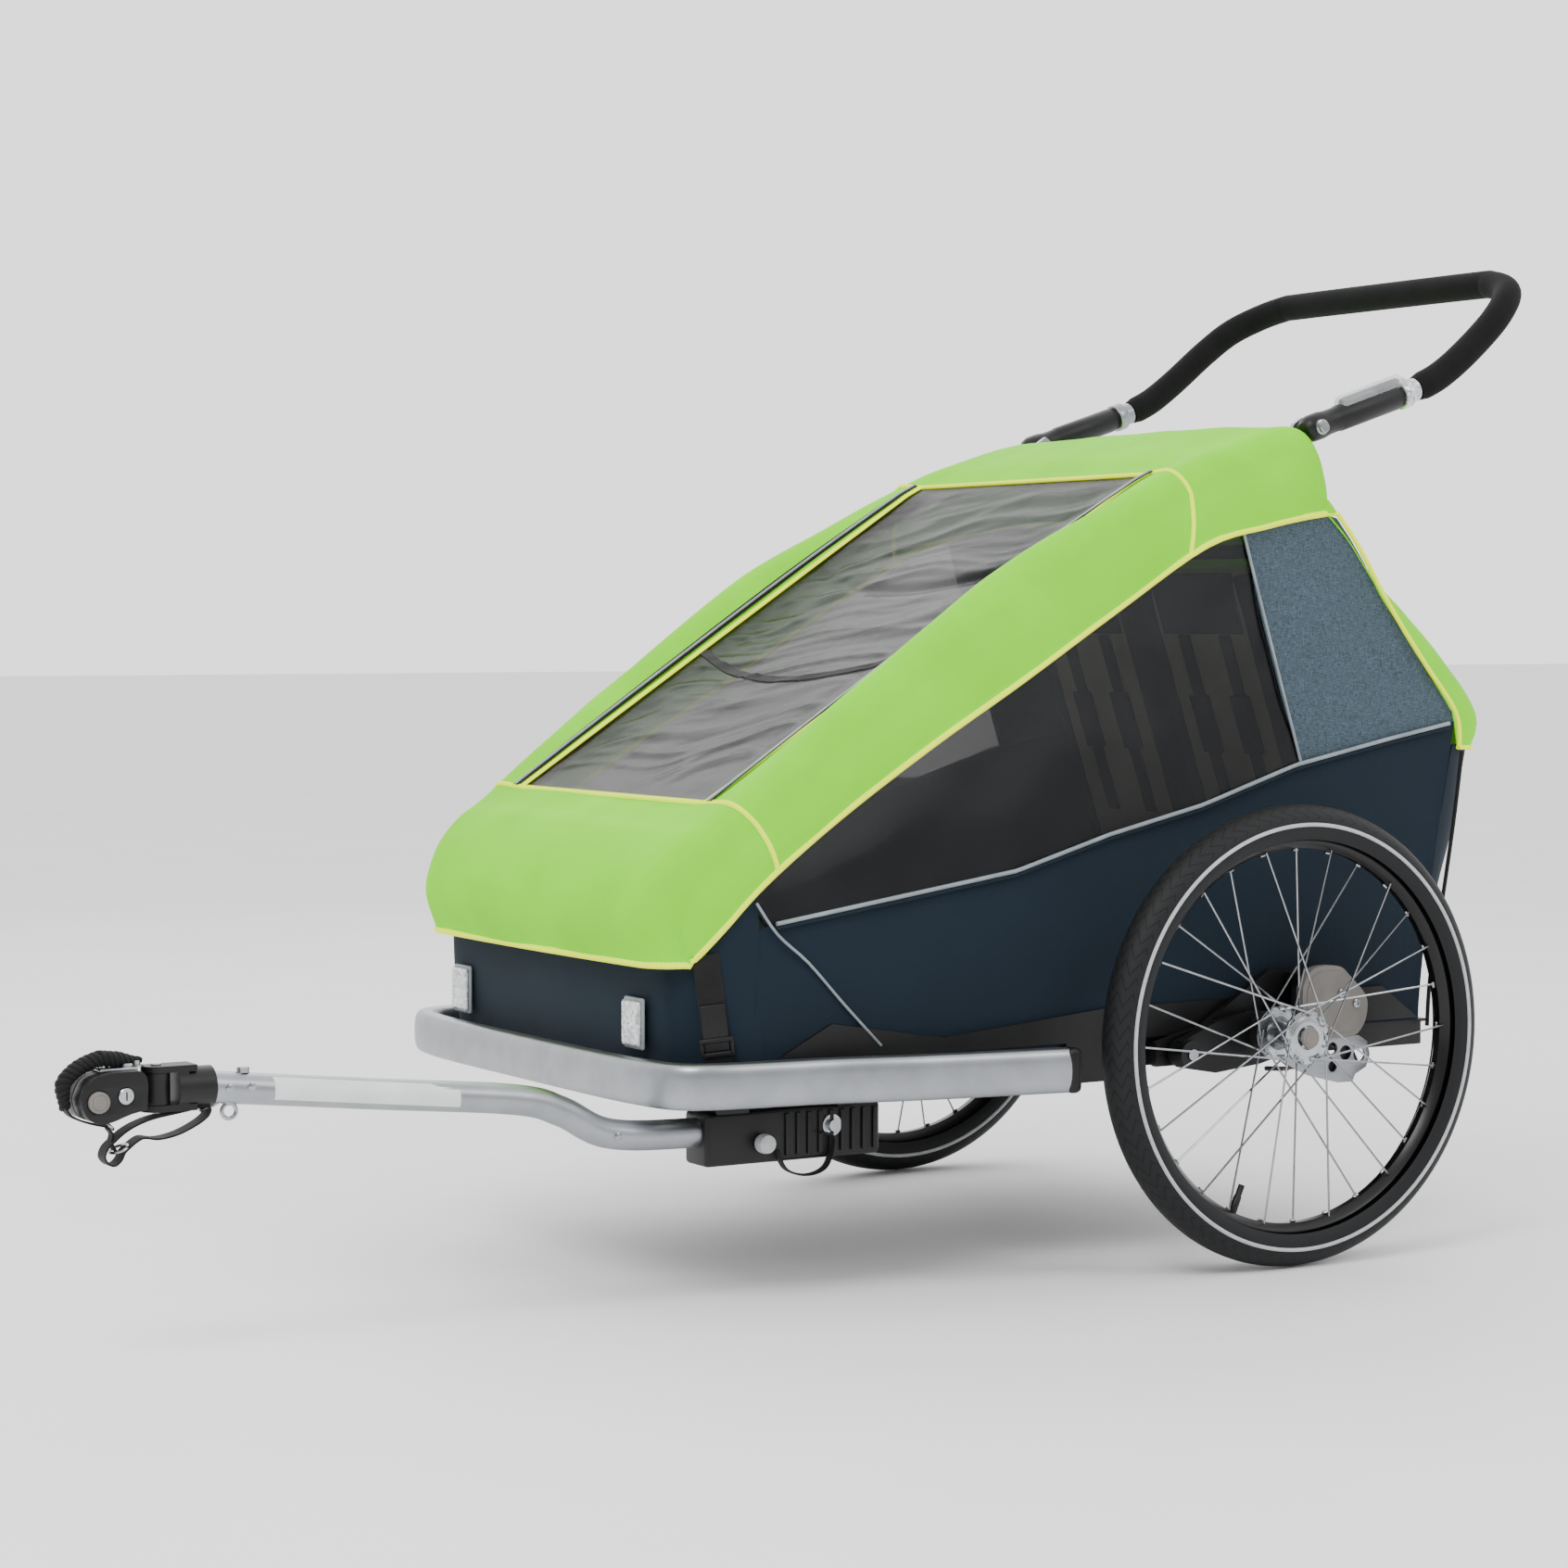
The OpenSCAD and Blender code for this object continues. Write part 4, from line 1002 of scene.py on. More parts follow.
def build_walls():
    """Navy side walls, front wall, luggage pocket and the lime rear cover."""
    rows_up, columns = 12, 44
    side = []
    for r in range(rows_up + 1):
        v = r / rows_up
        row = []
        for k in range(columns + 1):
            t = k / columns
            rear_y = mix(256, TUB_REAR, v ** 1.3)
            y = mix(TUB_FRONT + 1, rear_y, t)
            z = mix(-7, height(SILL, min(y, TUB_REAR)), v)
            bulge = 3.5 * math.sin(math.pi * v) * min(math.sin(math.pi * t) * 3, 1)
            row.append(at(WALL_X - 1 + bulge, y, z))
        side.append(row)
    left = grid("left_wall", side)
    face_towards(left, Vector((1, 0, 0)))
    ruffle(left, 1.5, 120, 2.0)
    thicken(left, sizes().wall)
    for piece in both(left, "wall"):
        finish(piece, "chassis", MATERIALS["navy"], ["side_panels"], TUB_FOLD)

    plan = smooth([(289, -600), (285, -628), (272, -651), (250, -672), (225, -683), (120, -689),
                   (0, -691)], 5)
    plan = plan + [Vector((-p.x, p.y)) for p in reversed(plan[:-1])]
    front = []
    for r in range(9):
        v = r / 8
        row = []
        for p in plan:
            top = height(HEM, p.y) + 12
            lean = 8 * (1 - v)
            row.append(at(p.x, p.y + lean - 2 * math.sin(math.pi * v), mix(-9, top, v)))
        front.append(row)
    wall = grid("front_wall", front)
    face_towards(wall, Vector((0, -1, 0)))
    ruffle(wall, 1.2, 80, 6.0)
    thicken(wall, sizes().wall)
    finish(wall, "chassis", MATERIALS["navy"], ["front_panel"])

    cover = bowed_sheet("rear_cover_shell", COVER_MIDDLE, COVER_EDGE, 287, 26, 34)
    ruffle(cover, 4.0, 110, 9.0)
    ruffle(cover, 1.5, 40, 4.0)
    thicken(cover, sizes().cover)
    finish(cover, "chassis", MATERIALS["lime"], ["rear_cover"], TUB_FOLD)
    pocket = bowed_sheet("luggage_pocket_shell", POCKET_MIDDLE, POCKET_EDGE, 287, 22, 34)
    ruffle(pocket, 2.5, 100, 7.0)
    thicken(pocket, 2.0 * MM)
    finish(pocket, "chassis", MATERIALS["navy"], ["luggage_pocket", "rear_wall"], TUB_FOLD)
    low = bowed_line(COVER_MIDDLE[-1], COVER_EDGE[-1], 286, 40)
    finish(tube("rear_cover_binding", low, 2.6 * MM, 8), "chassis", MATERIALS["binding"],
           fold=TUB_FOLD)


def bowed_line(centre, rim, half, count):
    """A line across a sheet whose two ends lie on its rim."""
    line = []
    for j in range(count + 1):
        v = math.sin(math.pi * (j / count - 0.5))
        share = abs(v) ** 14
        line.append(at(half * v, mix(centre[0], rim[0], share), mix(centre[1], rim[1], share)))
    return line


def bowed_sheet(name, centre, rim, half, count, across):
    """A sheet whose middle bows away from its two side edges."""
    middle_line = resample(smooth([(*p, 0) for p in centre], 4), count)
    rim_line = resample(smooth([(*p, 0) for p in rim], 4), count)
    sheet = grid(name, [bowed_line(m, r, half, across) for m, r in zip(middle_line, rim_line)])
    face_towards(sheet, Vector((0, 1, 0)))
    subdivide(sheet)
    return sheet


# ---- seats ----

FILLING_VOXEL = 0.006
FILLING_FRAMES = 15


def inflated(piece, pressure, cap):
    """Cloth pressure fills a pad out; cap is the most that a point may move, in millimetres."""
    remesh = piece.modifiers.new("even", "REMESH")
    remesh.mode = "VOXEL"
    remesh.voxel_size = FILLING_VOXEL
    bake(piece)
    start = [v.co.copy() for v in piece.data.vertices]
    filling = piece.modifiers.new("cloth", "CLOTH")
    filling.settings.use_pressure = True
    filling.settings.uniform_pressure_force = pressure
    filling.settings.effector_weights.gravity = 0
    scene = bpy.context.scene
    for number in range(1, FILLING_FRAMES + 1):
        scene.frame_set(number)
    bake(piece)
    scene.frame_set(1)
    for v, p in zip(piece.data.vertices, start):
        move = v.co - p
        if move.length > cap * MM:
            v.co = p + move.normalized() * cap * MM


def build_seats():
    """The two cushions and backs, with their wings, head rests and harnesses."""
    low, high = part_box("seat_cushions")
    top = (high[2] - AXLE.z) / MM
    depth = ((low[1] - AXLE.y) / MM, (high[1] - AXLE.y) / MM)
    wide = high[0] / MM
    cushion = rounded_box("left_seat_cushion", (12, depth[0] + 6, top - 30),
                          (wide - 6, depth[1] - 6, top - 4), 10)
    inflated(cushion, 3.0, 6)
    for piece in both(cushion, "seat_cushion"):
        finish(piece, "chassis", MATERIALS["navy"], ["seat_cushions"])
    pivot = Vector(next(j for j in frame["joints"] if j["name"] == "seat_fold")["pos_m"])
    pivot.x = 0
    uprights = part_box("seat_uprights")
    lean = math.atan2(pivot.y - (uprights[0][1] + 0.010), uprights[1][2] - 0.003 - pivot.z)
    to_back = Matrix.Translation(pivot) @ Matrix.Rotation(lean, 4, "X")

    def back_box(name, low_mm, high_mm, radius):
        piece = rounded_box(name, low_mm, high_mm, radius)
        piece.data.transform(Matrix.Translation(-at(0, 0, 0)))
        return piece

    back = back_box("left_seat_back", (16, -40, 82), (212, -18, 450), 9)
    inflated(back, 2.5, 6)
    back.data.transform(to_back)
    for piece in both(back, "seat_back"):
        finish(piece, "rear_frame", MATERIALS["mesh"], ["seat_backs"])
    trim = {
        "seat_wing": [((14, -46, 84), (38, -14, 440)), ((190, -46, 84), (214, -14, 440))],
        "head_rest": [((40, -48, 372), (188, -40, 444))],
        "harness": [((66, -48, 150), (88, -41, 372)), ((140, -48, 150), (162, -41, 372)),
                    ((60, -50, 230), (94, -42, 300)), ((134, -50, 230), (168, -42, 300))],
    }
    trim_looks = {"seat_wing": ("navy_fabric", "navy"), "head_rest": ("navy_fabric", "melange"),
                  "harness": ("webbing", "webbing")}
    for name, boxes in trim.items():
        parts = [back_box(name + str(i), low_mm, high_mm, 4 if name != "harness" else 2)
                 for i, (low_mm, high_mm) in enumerate(boxes)]
        left = joined("left_" + name, parts)
        left.data.transform(to_back)
        slot, look = trim_looks[name]
        for piece in both(left, name):
            finish(piece, "rear_frame", MATERIALS[look])


# ---- wheels ----

TYRE_SEGMENTS = 180
SPOKES = 28
NIPPLE_DEPTH = 13
FLANGE_RADIUS = 25.5
VALVE_ANGLE = -114


def wheel_ring(centre, out, radius, count):
    """Points round a wheel, that far out along X and from its middle, in millimetres."""
    return [centre + Vector((out * MM, math.cos(a) * radius * MM, math.sin(a) * radius * MM))
            for a in turns(count)]


def tyre_profile(radius, half_width):
    """The outside of the tyre, from one bead over the tread to the other."""
    points = []
    for k in range(25):
        a = math.radians(mix(-128, 128, k / 24))
        points.append((radius - half_width + half_width * math.cos(a) * 0.98, half_width * math.sin(a)))
    return points


def build_wheel(side):
    """One wheel: tyre, rim, hub, valve, spoke ends and the button of its axle."""
    s = SIDES[side]
    centre = Vector((s * AXLE.x, AXLE.y, AXLE.z))
    axis = (s, 0, 0)
    body = side + "_wheel"
    radius = AXLE.z / MM
    half_width = (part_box("left_tyre")[1][0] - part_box("left_tyre")[0][0]) / 2 / MM

    tyre = lathe(side + "_tyre_body", tyre_profile(radius, half_width), centre, axis, TYRE_SEGMENTS)
    finish(tyre, body, MATERIALS["rubber"], [side + "_tyre"], sharp=50)
    stripe_r = radius - half_width + 2
    for name, place in (("outer", 22.7), ("inner", -22.7)):
        ring = wheel_ring(centre, s * place, stripe_r, 160)
        band = tube(side + "_" + name + "_stripe", ring, 2.1 * MM, 8, closed=True)
        finish(band, body, MATERIALS["stripe"])

    rim_low, rim_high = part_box("left_rim")
    outer = (rim_high[2] - rim_low[2]) / 2 / MM
    half = (rim_high[0] - rim_low[0]) / 2 / MM
    section = [(outer - 1, -half), (outer + 0.6, -half + 0.8), (outer + 0.6, half - 0.8),
               (outer - 1, half), (outer - 4, half), (outer - 6, half - 1.5), (outer - 10, 6),
               (outer - 11.5, 4), (outer - 11.5, -4), (outer - 10, -6), (outer - 6, 1.5 - half),
               (outer - 4, -half), (outer - 1, -half)]
    finish(lathe(side + "_rim_body", section, centre, axis, 144), body, MATERIALS["rim"],
           [side + "_rim"], sharp=35)
    nipple_r = outer - NIPPLE_DEPTH
    bead = repeated(side + "_nipples", wheel_ring(centre, 0, nipple_r, SPOKES),
                    2 * math.pi * nipple_r / SPOKES, "rod", (1.9, 6.0), MATERIALS["steel"], closed=True)
    finish(bead, body, MATERIALS["steel"])

    valve_turn = math.radians(VALVE_ANGLE)
    valve_out = Vector((0, math.cos(valve_turn), math.sin(valve_turn)))
    valve = lathe(side + "_valve", [(0, 0), (3.4, 0), (3.4, 12), (4.2, 13), (4.2, 30), (3.2, 32), (0, 32)],
                  centre + valve_out * (outer - 42) * MM, valve_out, 20)
    finish(valve, body, MATERIALS["black"])

    def flute(r, along, k, j):
        return r - 2.2 if r > 22 and 12 < along < 17 and k % 6 < 2 else r

    hub = [(6.2, -32), (15, -32), (17, -30), (18, -28.5), (28.4, -28), (29, -27), (29, -25), (28.4, -24),
           (18, -23), (15, -16), (14, -4), (15, 8), (18, 14), (24, 15), (24, 16.5), (28.4, 17.8), (29, 19),
           (29, 21), (28.4, 22), (22.5, 22.4), (21, 23.6), (17, 24), (13, 24), (12.2, 23), (12.2, 18),
           (6.2, 18)]
    finish(lathe(side + "_hub_body", hub, centre, axis, 96, flute), body, MATERIALS["polished"],
           [side + "_hub"], sharp=35)
    per_flange = SPOKES // 2
    heads = wheel_ring(centre, s * 22.4, FLANGE_RADIUS, per_flange)
    dots = repeated(side + "_spoke_heads", heads, 2 * math.pi * FLANGE_RADIUS / per_flange, "ball", (1.7,),
                    MATERIALS["steel"], closed=True)
    finish(dots, body, MATERIALS["steel"])
    inner = (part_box("left_axle_button")[0][0] - AXLE.x) / MM + 0.2
    button = [(0, inner), (11, inner), (11, 28.4), (10.2, 29.6), (8.4, 30), (7.8, 29.5), (7.2, 30), (0, 30.2)]
    finish(lathe(side + "_button_cap", button, centre, axis, 48), side + "_axle_button",
           MATERIALS["grey"], [side + "_axle_button"], sharp=35)


# ---- bumper, reflectors and lower fittings ----

CAP_HALF = 13
FRONT_REFLECTOR_X = 196
REAR_REFLECTOR_X = 210


def build_bumper():
    """The bumper's rail and its two end caps."""
    low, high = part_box("front_bumper")
    end_y = edge("bumper_caps", 0, 1)
    end_x = edge("bumper_caps", 1, 0) - CAP_HALF
    z = (low[2] + high[2]) / 2
    z_mm = (z - AXLE.z) / MM
    tall = (high[2] - low[2]) / MM
    half = [(0, -709), (150, -708.5), (232, -704), (286, -692), (308, -658), (325, -544), (350, -445),
            (end_x, end_y)]
    line = smooth([(x, y, z_mm) for x, y in half], 6)
    line = [Vector((-p.x, p.y, p.z)) for p in reversed(line[1:])] + line
    path = [at(p.x, p.y, p.z) for p in resample(line, 110)]
    section = []
    for a in turns(28):
        c, s = math.cos(a), math.sin(a)
        section.append((12.6 * math.copysign(abs(c) ** 0.55, c),
                        tall / 2 * math.copysign(abs(s) ** 0.7, s)))
    ahead, _ = frames(path)
    rows = []
    for p, t in zip(path, ahead):
        out = Vector((t.y, -t.x, 0)).normalized()
        rows.append([p + out * w * MM + Vector((0, 0, h * MM)) for w, h in section])
    count = len(section)
    rail = grid("bumper_rail", [[path[0]] * count] + rows + [[path[-1]] * count], closed=True)
    tidy(rail)
    finish(rail, "chassis", MATERIALS["alloy"], ["front_bumper"], sharp=50)
    caps = []
    a, b = end_y, edge("bumper_caps", 1, 1)
    for s in (1, -1):
        cap_x = end_x * s
        caps.append(rounded_box("cap", (cap_x - 13.5, a - 8, z_mm - 23.4),
                                (cap_x + 13.5, b, z_mm + 23.4), 7, 4))
        for near, far, tip in ((-2, 0, 20), (2, 4, 19)):
            caps.append(rounded_box("rib", (cap_x - 14.2, a + near, z_mm - tip),
                                    (cap_x + 14.2, a + far, z_mm + tip), 1))
    finish(joined("bumper_end_caps", caps), "chassis", MATERIALS["black"], ["bumper_caps"])


def build_reflectors():
    """The clear front reflectors with their holders, and the red rear ones."""
    front = []
    holders = []
    y0, y1 = edge("front_reflectors", 0, 1), edge("front_reflectors", 1, 1)
    z0, z1 = edge("front_reflectors", 0, 2), edge("front_reflectors", 1, 2)
    for s in (1, -1):
        x = FRONT_REFLECTOR_X * s
        front.append(rounded_box("lens", (x - 18, y0 - 1.5, z0 + 1), (x + 18, y1 - 2, z1 - 1), 3.5, 4))
        holders.append(rounded_box("holder", (x - 20, y0 + 3, z0 - 2), (x + 20, y1 + 1, z1 + 2), 2.5))
    finish(joined("front_reflector_lenses", front), "chassis", MATERIALS["prism"],
           ["front_reflectors"])
    finish(joined("front_reflector_holders", holders), "chassis",
           MATERIALS["silver_piping"])
    rear = []
    y0, y1 = edge("rear_reflectors", 0, 1), edge("rear_reflectors", 1, 1)
    z0, z1 = edge("rear_reflectors", 0, 2), edge("rear_reflectors", 1, 2)
    for s in (1, -1):
        x = REAR_REFLECTOR_X * s
        rear.append(rounded_box("lens", (x - 25, y0 + 4, z0), (x + 25, y1 + 8, z1), 4, 4))
    finish(joined("rear_reflector_lenses", rear), "chassis", MATERIALS["red"],
           ["rear_reflectors"])


def build_suspension():
    """The suspension covers and the hub plates on the swing arms."""
    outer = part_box("suspension_covers")[1][0] / MM
    lobes = [(40, 45), (48, 60), (63, 67), (90, 66), (104, 56), (127, 33), (129, 14), (122, -2), (108, -11),
             (76, -10), (54, 0), (41, 18)]
    outline = [(p.x, p.y) for p in smooth(lobes + [lobes[0]], 4)[:-1]]
    raised = [(mix(82, y, 0.86), mix(28, z, 0.86)) for y, z in outline]
    discs = [plate("left_suspension_disc", outline, outer - 11, outer, 1.8),
             plate("rim", raised, outer - 0.5, outer + 0.8, 0.5)]
    disc = joined("left_suspension_cover", discs)
    screws = [lathe("screw", [(0, 0.4), (5, 0.4), (5, 2.6), (4, 3.4), (2.4, 3.4), (2.4, 1.6), (0, 1.6)],
                    at(outer, y, z), (1, 0, 0), 24) for y, z in ((92, 37), (113, 25))]
    screw = joined("left_cover_screws", screws)
    for cover, bolts in zip(both(disc, "suspension_cover"), both(screw, "cover_screws")):
        finish(cover, "chassis", MATERIALS["grey"], ["suspension_covers"], sharp=35)
        finish(bolts, "chassis", MATERIALS["steel"])
    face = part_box("left_swing_arm")[1][0] / MM
    outline = [(8, 15), (26, 23), (42, 22), (60, 4), (74, -9), (104, -13), (128, -12), (140, -19),
               (144, -34), (139, -47), (124, -54), (120, -62), (100, -62), (84, -58), (60, -52), (40, -43),
               (22, -34), (8, -21)]
    holes = [(68, -28, 9), (92, -24, 6.5), (92, -44, 6), (110, -30, 8), (129, -33, 8), (40, 4, 7)]
    left = plate("left_hub_plate", outline, face + 0.3, face + 3.2, 0.7, holes)
    for side, piece in zip(SIDES, both(left, "hub_plate")):
        finish(piece, side + "_swing_arm", MATERIALS["alloy"], sharp=30)


def build_straps():
    """Front corner straps with their buckles, rear bungees and the loop on the socket."""
    # The front corner of the tub runs in by this much over that length
    corner_in, corner_long = 28, 62
    y = (edge("hem_straps", 0, 1) + edge("hem_straps", 1, 1)) / 2
    x = 290 - corner_in * max(-626 - y, 0) / corner_long - 4
    pivot = at(x, y, 108)
    turn = Matrix.Rotation(-math.atan2(corner_in, corner_long), 4, "Z") @ Matrix.Rotation(
        math.radians(7), 4, "X")
    turn = Matrix.Translation(pivot) @ turn @ Matrix.Translation(-pivot)
    parts = {
        "strap": [((x - 1, y - 13.5, -8.5), (x + 1.2, y + 13.5, 108))],
        "buckle": [((x + 1, y - 17, 6), (x + 4, y + 17, 11)), ((x + 1, y - 17, 20), (x + 6, y + 17, 25)),
                   ((x + 1, y - 17, 6), (x + 5, y - 13, 25)), ((x + 1, y + 13, 6), (x + 5, y + 17, 25)),
                   ((x + 1.5, y - 13, 11), (x + 3.5, y + 13, 58))],
    }
    for name, boxes in parts.items():
        left = joined("left_front_" + name,
                      [rounded_box(name, a, b, 0.9 if name == "strap" else 1.4) for a, b in boxes])
        left.data.transform(turn)
        slot, look = ("webbing", "webbing") if name == "strap" else ("black_plastic", "black")
        for piece in both(left, "front_" + name):
            finish(piece, "chassis", MATERIALS[look], ["hem_straps"])
    bungee = smooth([(312, 292), (300, 210), (282, 110), (268, 40), (264, -14)], 5)
    route = [at(295, p.x, p.y) for p in bungee]
    left = tube("left_rear_bungee", route, 2.3 * MM, 8)
    for piece in both(left, "rear_bungee"):
        finish(piece, "chassis", MATERIALS["webbing"], ["rear_bungees"], TUB_FOLD)
    tether = smooth([(-570, -92), (-560, -112), (-535, -120), (-512, -112), (-505, -84), (-520, -78)], 6)
    loop = [at(274.5, y, z) for y, z in tether]
    finish(tube("pin_tether", loop, 6.0 * MM, 10, flat=0.2), "chassis", MATERIALS["webbing"])


# ---- push bar ----

SLEEVE_HALF = 14
# From the upper rear corner of the sleeves' box back to the middle of their tips, in metres
SLEEVE_TIP = (0.0043, 0.0135)
SLEEVE_LENGTH = 152


def bar_frame():
    """The push bar's pivot, the direction of its sleeves and their distance from the middle."""
    pivot = Vector(next(j for j in frame["joints"] if j["name"] == "push_bar_swing")["pos_m"])
    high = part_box("bar_sleeves")[1]
    x = high[0] / MM - SLEEVE_HALF
    angle = math.atan2((high[2] - SLEEVE_TIP[1]) - pivot.z, (high[1] - SLEEVE_TIP[0]) - pivot.y)
    return pivot, Vector((0, math.cos(angle), math.sin(angle))), x


def build_push_bar():
    """The push bar: sleeves, rings, bolts, light and foam grip."""
    pivot, along, x = bar_frame()
    for side, s in SIDES.items():
        root = Vector((s * x * MM, pivot.y, pivot.z))
        sleeve = [(0, -15), (9, -14.5), (13, -11), (15, -5), (15.2, 8), (14.2, 14), (13.6, 20), (13.6, 34),
                  (14.6, 36), (14.6, 118), (13.4, 121), (13.4, 126), (0, 126)]
        finish(lathe(side + "_sleeve", sleeve, root, along, 48), "push_bar",
               MATERIALS["black"], ["bar_sleeves"], sharp=35)
        ring = [(0, 126), (16, 126), (16.6, 127), (16.6, 138), (16, 139), (13, 139.5), (13, 150), (0, 150)]
        slot, look = ("clear_plastic", "prism") if s > 0 else ("alloy", "alloy")
        finish(lathe(side + "_ring", ring, root, along, 48), "push_bar", MATERIALS[look], sharp=35)
        bolt = [(0, 13), (8.5, 13), (8.5, 15.5), (6.5, 16.5), (6.5, 19.5), (5.2, 20.5), (0, 20.5)]
        finish(lathe(side + "_bar_bolt", bolt, root, (s, 0, 0), 36), "push_bar", MATERIALS["steel"],
               sharp=30)
    root = Vector((x * MM, pivot.y, pivot.z))
    up = Vector((0, -along.z, along.y))
    case = [(0, 42), (8, 42), (10, 45), (10, 130), (8, 133), (0, 133)]
    clear = lathe("bar_light_cover", case, root + up * 13.5 * MM, along, 32)
    finish(clear, "push_bar", MATERIALS["clear"], ["bar_light"], sharp=35)
    board = lathe("bar_light_board", [(0, 46), (5.5, 46), (6.5, 49), (6.5, 126), (5.5, 129), (0, 129)],
                  root + up * 13.5 * MM, along, 24)
    finish(board, "push_bar", MATERIALS["black"], sharp=35)

    end = root + along * SLEEVE_LENGTH * MM
    shape = [(0, 0, 0), (1, 32, 15), (1, 68, 40), (-2, 112, 76), (-14, 144, 103), (-38, 168, 120),
             (-74, 180, 130), (-116, 183, 132)]
    near = [Vector((end.x + a * MM, end.y + b * MM, end.z + c * MM)) for a, b, c in shape]
    route = near + [Vector((-p.x, p.y, p.z)) for p in reversed(near)]
    path = resample(smooth(route, 8), 160)
    radii = []
    for i in range(len(path)):
        from_end = min(i, len(path) - 1 - i)
        radii.append((13.5 + 2.5 * min(from_end / 2, 1)) * MM)
    finish(tube("foam_grip", path, radii, 24), "push_bar", MATERIALS["foam"], ["bar_grip"], sharp=50)


# ---- drawbar and hitch ----

PIPE_RADIUS = 15
LABEL_SPAN = (-1105, -905)
SCREW = [(0, 2), (5.5, 2), (5.5, 4.5), (4, 5.5), (0, 5.5)]
RIVET = [(0, 14), (4, 14), (4, 15.6), (3, 16.2), (0, 16.4)]


def build_drawbar():
    """The drawbar's pipe, label and rivets, its socket and its pin's knob."""
    x = middle("drawbar_tube").x / MM
    tip = edge("drawbar_fork", 0, 1)
    tube_end = tip + 14 + 31
    points = [(-470, -72), (-640, -72), (-745, -66), (-800, -40), (-850, -25), (-1000, -9), (tube_end, 11)]
    path = [at(x, p.x, p.y) for p in smooth(points, 10)]
    finish(tube("drawbar_pipe", path, PIPE_RADIUS * MM, 32), "chassis", MATERIALS["alloy"],
           ["drawbar_tube"], sharp=50)
    rows = []
    label_r = PIPE_RADIUS + 0.3
    for y in range(*LABEL_SPAN, 10):
        z = mix(11, -9, (y - tube_end) / (-1000 - tube_end)) if y < -1000 else mix(-9, -25, (y + 1000) / 150)
        rows.append([at(x + label_r * math.cos(a), y, z + label_r * math.sin(a))
                     for a in (math.radians(d) for d in range(-32, 63, 8))])
    sticker = grid("drawbar_label", rows)
    face_towards(sticker, Vector((1, 0, 0)))
    thicken(sticker, 0.2 * MM)
    finish(sticker, "chassis", MATERIALS["label"])
    rivets = []
    for y in (-1165, -1150, -1128, -745):
        z = -66 if y > -800 else 9
        rivets.append(lathe("rivet", RIVET, at(x, y, z - 1), (1, 0, 0), 20))
    finish(joined("drawbar_rivets", rivets), "chassis", MATERIALS["steel"])

    low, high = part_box("drawbar_socket")
    box_low = (low[0] / MM, edge("drawbar_socket", 0, 1), edge("drawbar_socket", 0, 2))
    box_high = (high[0] / MM, edge("drawbar_socket", 1, 1), -51)
    blocks = [rounded_box("body", box_low, box_high, 5, 4)]
    for y in range(int(box_low[1]) + 90, int(box_high[1]) - 10, 13):
        blocks.append(rounded_box("rib", (box_high[0] - 2, y, box_low[2] + 6),
                                  (box_high[0] + 2.5, y + 5, -56), 1))
    for y in (box_low[1] + 12, box_high[1] - 52):
        blocks.append(rounded_box("foot", (low[0] / MM + 3, y, -56), (high[0] / MM - 1, y + 40, -36), 3))
    finish(joined("socket_casting", blocks), "chassis", MATERIALS["black"],
           ["drawbar_socket"])
    pin = Vector((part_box("drawbar_pin")[1][0], *middle("drawbar_pin")[1:]))
    knob = [(0, -16), (6, -16), (6, -14), (9.5, -12), (10, -6), (9, -1), (6, 0), (0, 0)]
    finish(lathe("pin_knob", knob, pin + Vector((0.002, 0, 0)), (1, 0, 0), 40), "drawbar_pin",
           MATERIALS["stripe"], sharp=35)


